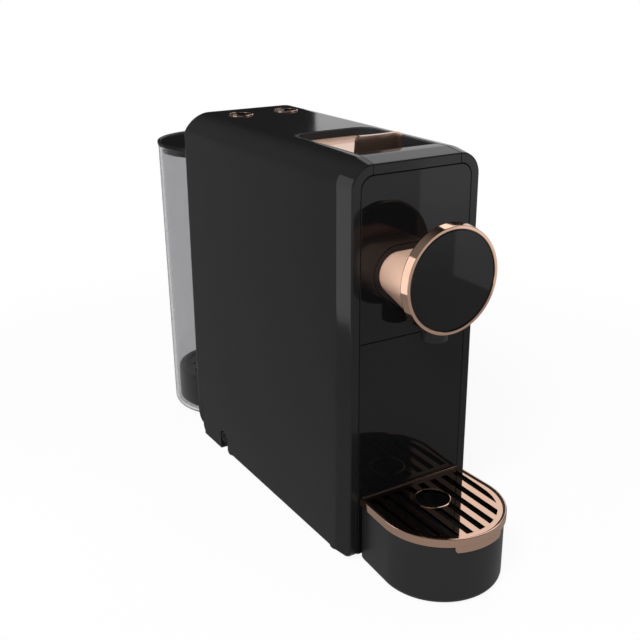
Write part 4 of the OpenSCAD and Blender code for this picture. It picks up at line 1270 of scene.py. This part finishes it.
class COFFEE_OT_inner_parts(bpy.types.Operator):
    """Gives the parts that keep their CAD shape a moulded or metal finish"""

    bl_idname = "coffee.inner_parts"
    bl_label = "Inner parts"

    finishes = {
        "Matt black": "chassis inlet_tray pod_bin tank_dock tank_valve",
        "Dark grey": "cup_carriage injector_head brew_frame coffee_funnel",
        "Off-white acetal": "gear_sectors flow_meter",
        "Rubber": "dock_seal pump_mounts cord_gland",
        "Silicone": "tank_hose feed_hose pressure_hose brew_hose",
        "Coil housing": "pump",
        "Cast aluminium": "boiler",
        "Circuit board": "control_board switch_board",
        "Steel": "hinge_pin spring_left spring_right rear_screws",
    }

    def execute(self, context):
        for name, nodes in self.finishes.items():
            for node in nodes.split():
                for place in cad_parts[node].material_slots:
                    place.material = finish(name)
        return {"FINISHED"}


# ---- stage ----


class COFFEE_OT_stage(bpy.types.Operator):
    """Sets up the pale floor, the white background, the soft lamps and the camera"""

    bl_idname = "coffee.stage"
    bl_label = "Stage"

    def execute(self, context):
        scene = context.scene
        scene.view_settings.view_transform = "Standard"
        self.floor(scene)
        self.world(scene)
        self.lamps(scene)
        self.camera(scene)
        return {"FINISHED"}

    def floor(self, scene):
        bm = bmesh.new()
        bmesh.ops.create_circle(bm, cap_ends=True, radius=14, segments=64)
        mesh = bpy.data.meshes.new("floor")
        bm.to_mesh(mesh)
        bm.free()
        floor = bpy.data.objects.new("floor", mesh)
        bpy.context.scene.collection.objects.link(floor)
        material = bpy.data.materials.new("Pale floor")
        graph = Graph(material)
        seen, glossy = graph.rays("Is Camera Ray", "Is Transmission Ray"), graph.rays("Is Glossy Ray")
        matt = graph.add(
            "ShaderNodeBsdfDiffuse",
            None,
            {"Color": graph.between(graph.noise(3), (0.78, 0.78, 0.78, 1), (0.8, 0.8, 0.8, 1))},
        )
        spot = graph.add("ShaderNodeTexCoord", out=3)
        away = graph.add("ShaderNodeVectorMath", {"operation": "LENGTH"}, {0: spot}, out=1)
        far = graph.step(away, 0.3, 0.7, 0.92, 1.0)
        depth = graph.part(spot, "Y")
        settings = scene.stage_settings
        mirrored = graph.step(depth, -0.5, 0.25, settings.front_glow, settings.rear_glow)
        mirrored = mirrored + graph.step(depth, -1.1, -0.6, settings.far_glow, 0)
        glow = graph.add(
            "ShaderNodeEmission", None, {"Color": (1, 1, 1, 1), "Strength": seen + glossy * mirrored}
        )
        graph.output(graph.add("ShaderNodeMixShader", None, {0: seen * far + glossy, 1: matt, 2: glow}))
        mesh.materials.append(material)

    def world(self, scene):
        world = bpy.data.worlds.new("Studio")
        scene.world = world
        graph = Graph(world)
        seen, glossy = graph.rays("Is Camera Ray", "Is Transmission Ray"), graph.rays("Is Glossy Ray")
        settings = scene.stage_settings
        across = graph.part(graph.add("ShaderNodeTexCoord"), "X")
        sky = graph.step(across, -0.5, 0.35, settings.sky_glow, 0.015)
        strength = (1 - glossy) * settings.ambient + glossy * sky
        dim = graph.add("ShaderNodeBackground", None, {"Color": (1, 1, 1, 1), "Strength": strength})
        white = graph.add("ShaderNodeBackground", None, {"Color": (1, 1, 1, 1), "Strength": 1.0})
        mixed = graph.add("ShaderNodeMixShader", None, {0: seen, 1: dim, 2: white})
        graph.output(mixed, "ShaderNodeOutputWorld")

    def lamps(self, scene):
        # Name, middle, what it faces, size, radiance, and whether polished surfaces mirror it
        lamps = (
            ("Back low card", (1.5, 1.2, 0.48), (1.5, -1.0, 0.48), (1.54, 0.56), 0.76, True),
            ("Back high card", (1.5, 1.2, 1.16), (1.5, -1.0, 1.16), (1.54, 0.8), 0.85, True),
            ("Top card", (0.95, 0.4, 1.3), (0.95, 0.401, 0.0), (0.9, 1.0), 1.3, True),
            ("Left card", (-0.3, 0.035, 0.25), (1.0, 0.035, 0.25), (0.19, 0.38), 1.0, True),
            ("Right card", (0.43, -0.44, 0.25), (-1.0, -0.44, 0.25), (0.51, 0.5), 0.36, True),
            ("Key softbox", (-0.8, -0.75, 1.2), (0.0, -0.1, 0.2), (0.5, 0.5), 27, False),
        )
        for name, place, target, size, radiance, mirrored in lamps:
            light = bpy.data.lights.new(name, "AREA")
            light.shape, light.size, light.size_y = "RECTANGLE", *size
            light.energy = radiance * math.pi * size[0] * size[1]
            lamp = bpy.data.objects.new(name, light)
            lamp.location = place
            lamp.rotation_euler = (Vector(target) - Vector(place)).to_track_quat("-Z", "Y").to_euler()
            lamp.visible_glossy = mirrored
            scene.collection.objects.link(lamp)

    def camera(self, scene):
        settings = scene.stage_settings
        a, e, roll = settings.azimuth, settings.elevation, settings.roll
        back = Vector((math.sin(a) * math.cos(e), -math.cos(a) * math.cos(e), math.sin(e)))
        right = Vector((math.cos(a), math.sin(a), 0))
        up = back.cross(right)
        right, up = (
            right * math.cos(roll) + up * math.sin(roll),
            up * math.cos(roll) - right * math.sin(roll),
        )
        data = bpy.data.cameras.new("Camera")
        data.lens, data.sensor_width, data.clip_end = settings.lens, 36, 50
        camera = bpy.data.objects.new("Camera", data)
        camera.matrix_world = Matrix((right, up, back)).transposed().to_4x4()
        camera.location = settings.place
        scene.collection.objects.link(camera)
        scene.camera = camera


OPERATORS = (
    COFFEE_OT_housing,
    COFFEE_OT_brow,
    COFFEE_OT_front_panels,
    COFFEE_OT_outlet,
    COFFEE_OT_dial,
    COFFEE_OT_lever,
    COFFEE_OT_buttons,
    COFFEE_OT_drip_tray,
    COFFEE_OT_drip_grid,
    COFFEE_OT_water_tank,
    COFFEE_OT_tank_lid,
    COFFEE_OT_filter_cup,
    COFFEE_OT_rear_cover,
    COFFEE_OT_feet,
    COFFEE_OT_inner_parts,
    COFFEE_OT_stage,
)


class COFFEE_PT_machine(bpy.types.Panel):
    """Lists the machine's pieces"""

    bl_label = "Pod Coffee Machine"
    bl_space_type = "VIEW_3D"
    bl_region_type = "UI"
    bl_category = "Coffee"

    def draw(self, context):
        for operator in OPERATORS:
            self.layout.operator(operator.bl_idname)
        for group in GROUPS:
            sizes = getattr(context.scene, group)
            column = self.layout.column(heading=group.replace("_", " ").capitalize())
            for name in sizes.__annotations__:
                column.prop(sizes, name)


def register():
    for group in GROUPS.values():
        bpy.utils.register_class(group)
    for operator in OPERATORS:
        bpy.utils.register_class(operator)
    bpy.utils.register_class(COFFEE_PT_machine)
    for name, group in GROUPS.items():
        setattr(bpy.types.Scene, name, bpy.props.PointerProperty(type=group))


def unregister():
    for name in GROUPS:
        delattr(bpy.types.Scene, name)
    bpy.utils.unregister_class(COFFEE_PT_machine)
    for operator in reversed(OPERATORS):
        bpy.utils.unregister_class(operator)
    for group in GROUPS.values():
        bpy.utils.unregister_class(group)


def main():
    register()
    for operator in OPERATORS:
        call = bpy.ops
        for part in operator.bl_idname.split("."):
            call = getattr(call, part)
        call()


if __name__ == "__main__":
    main()
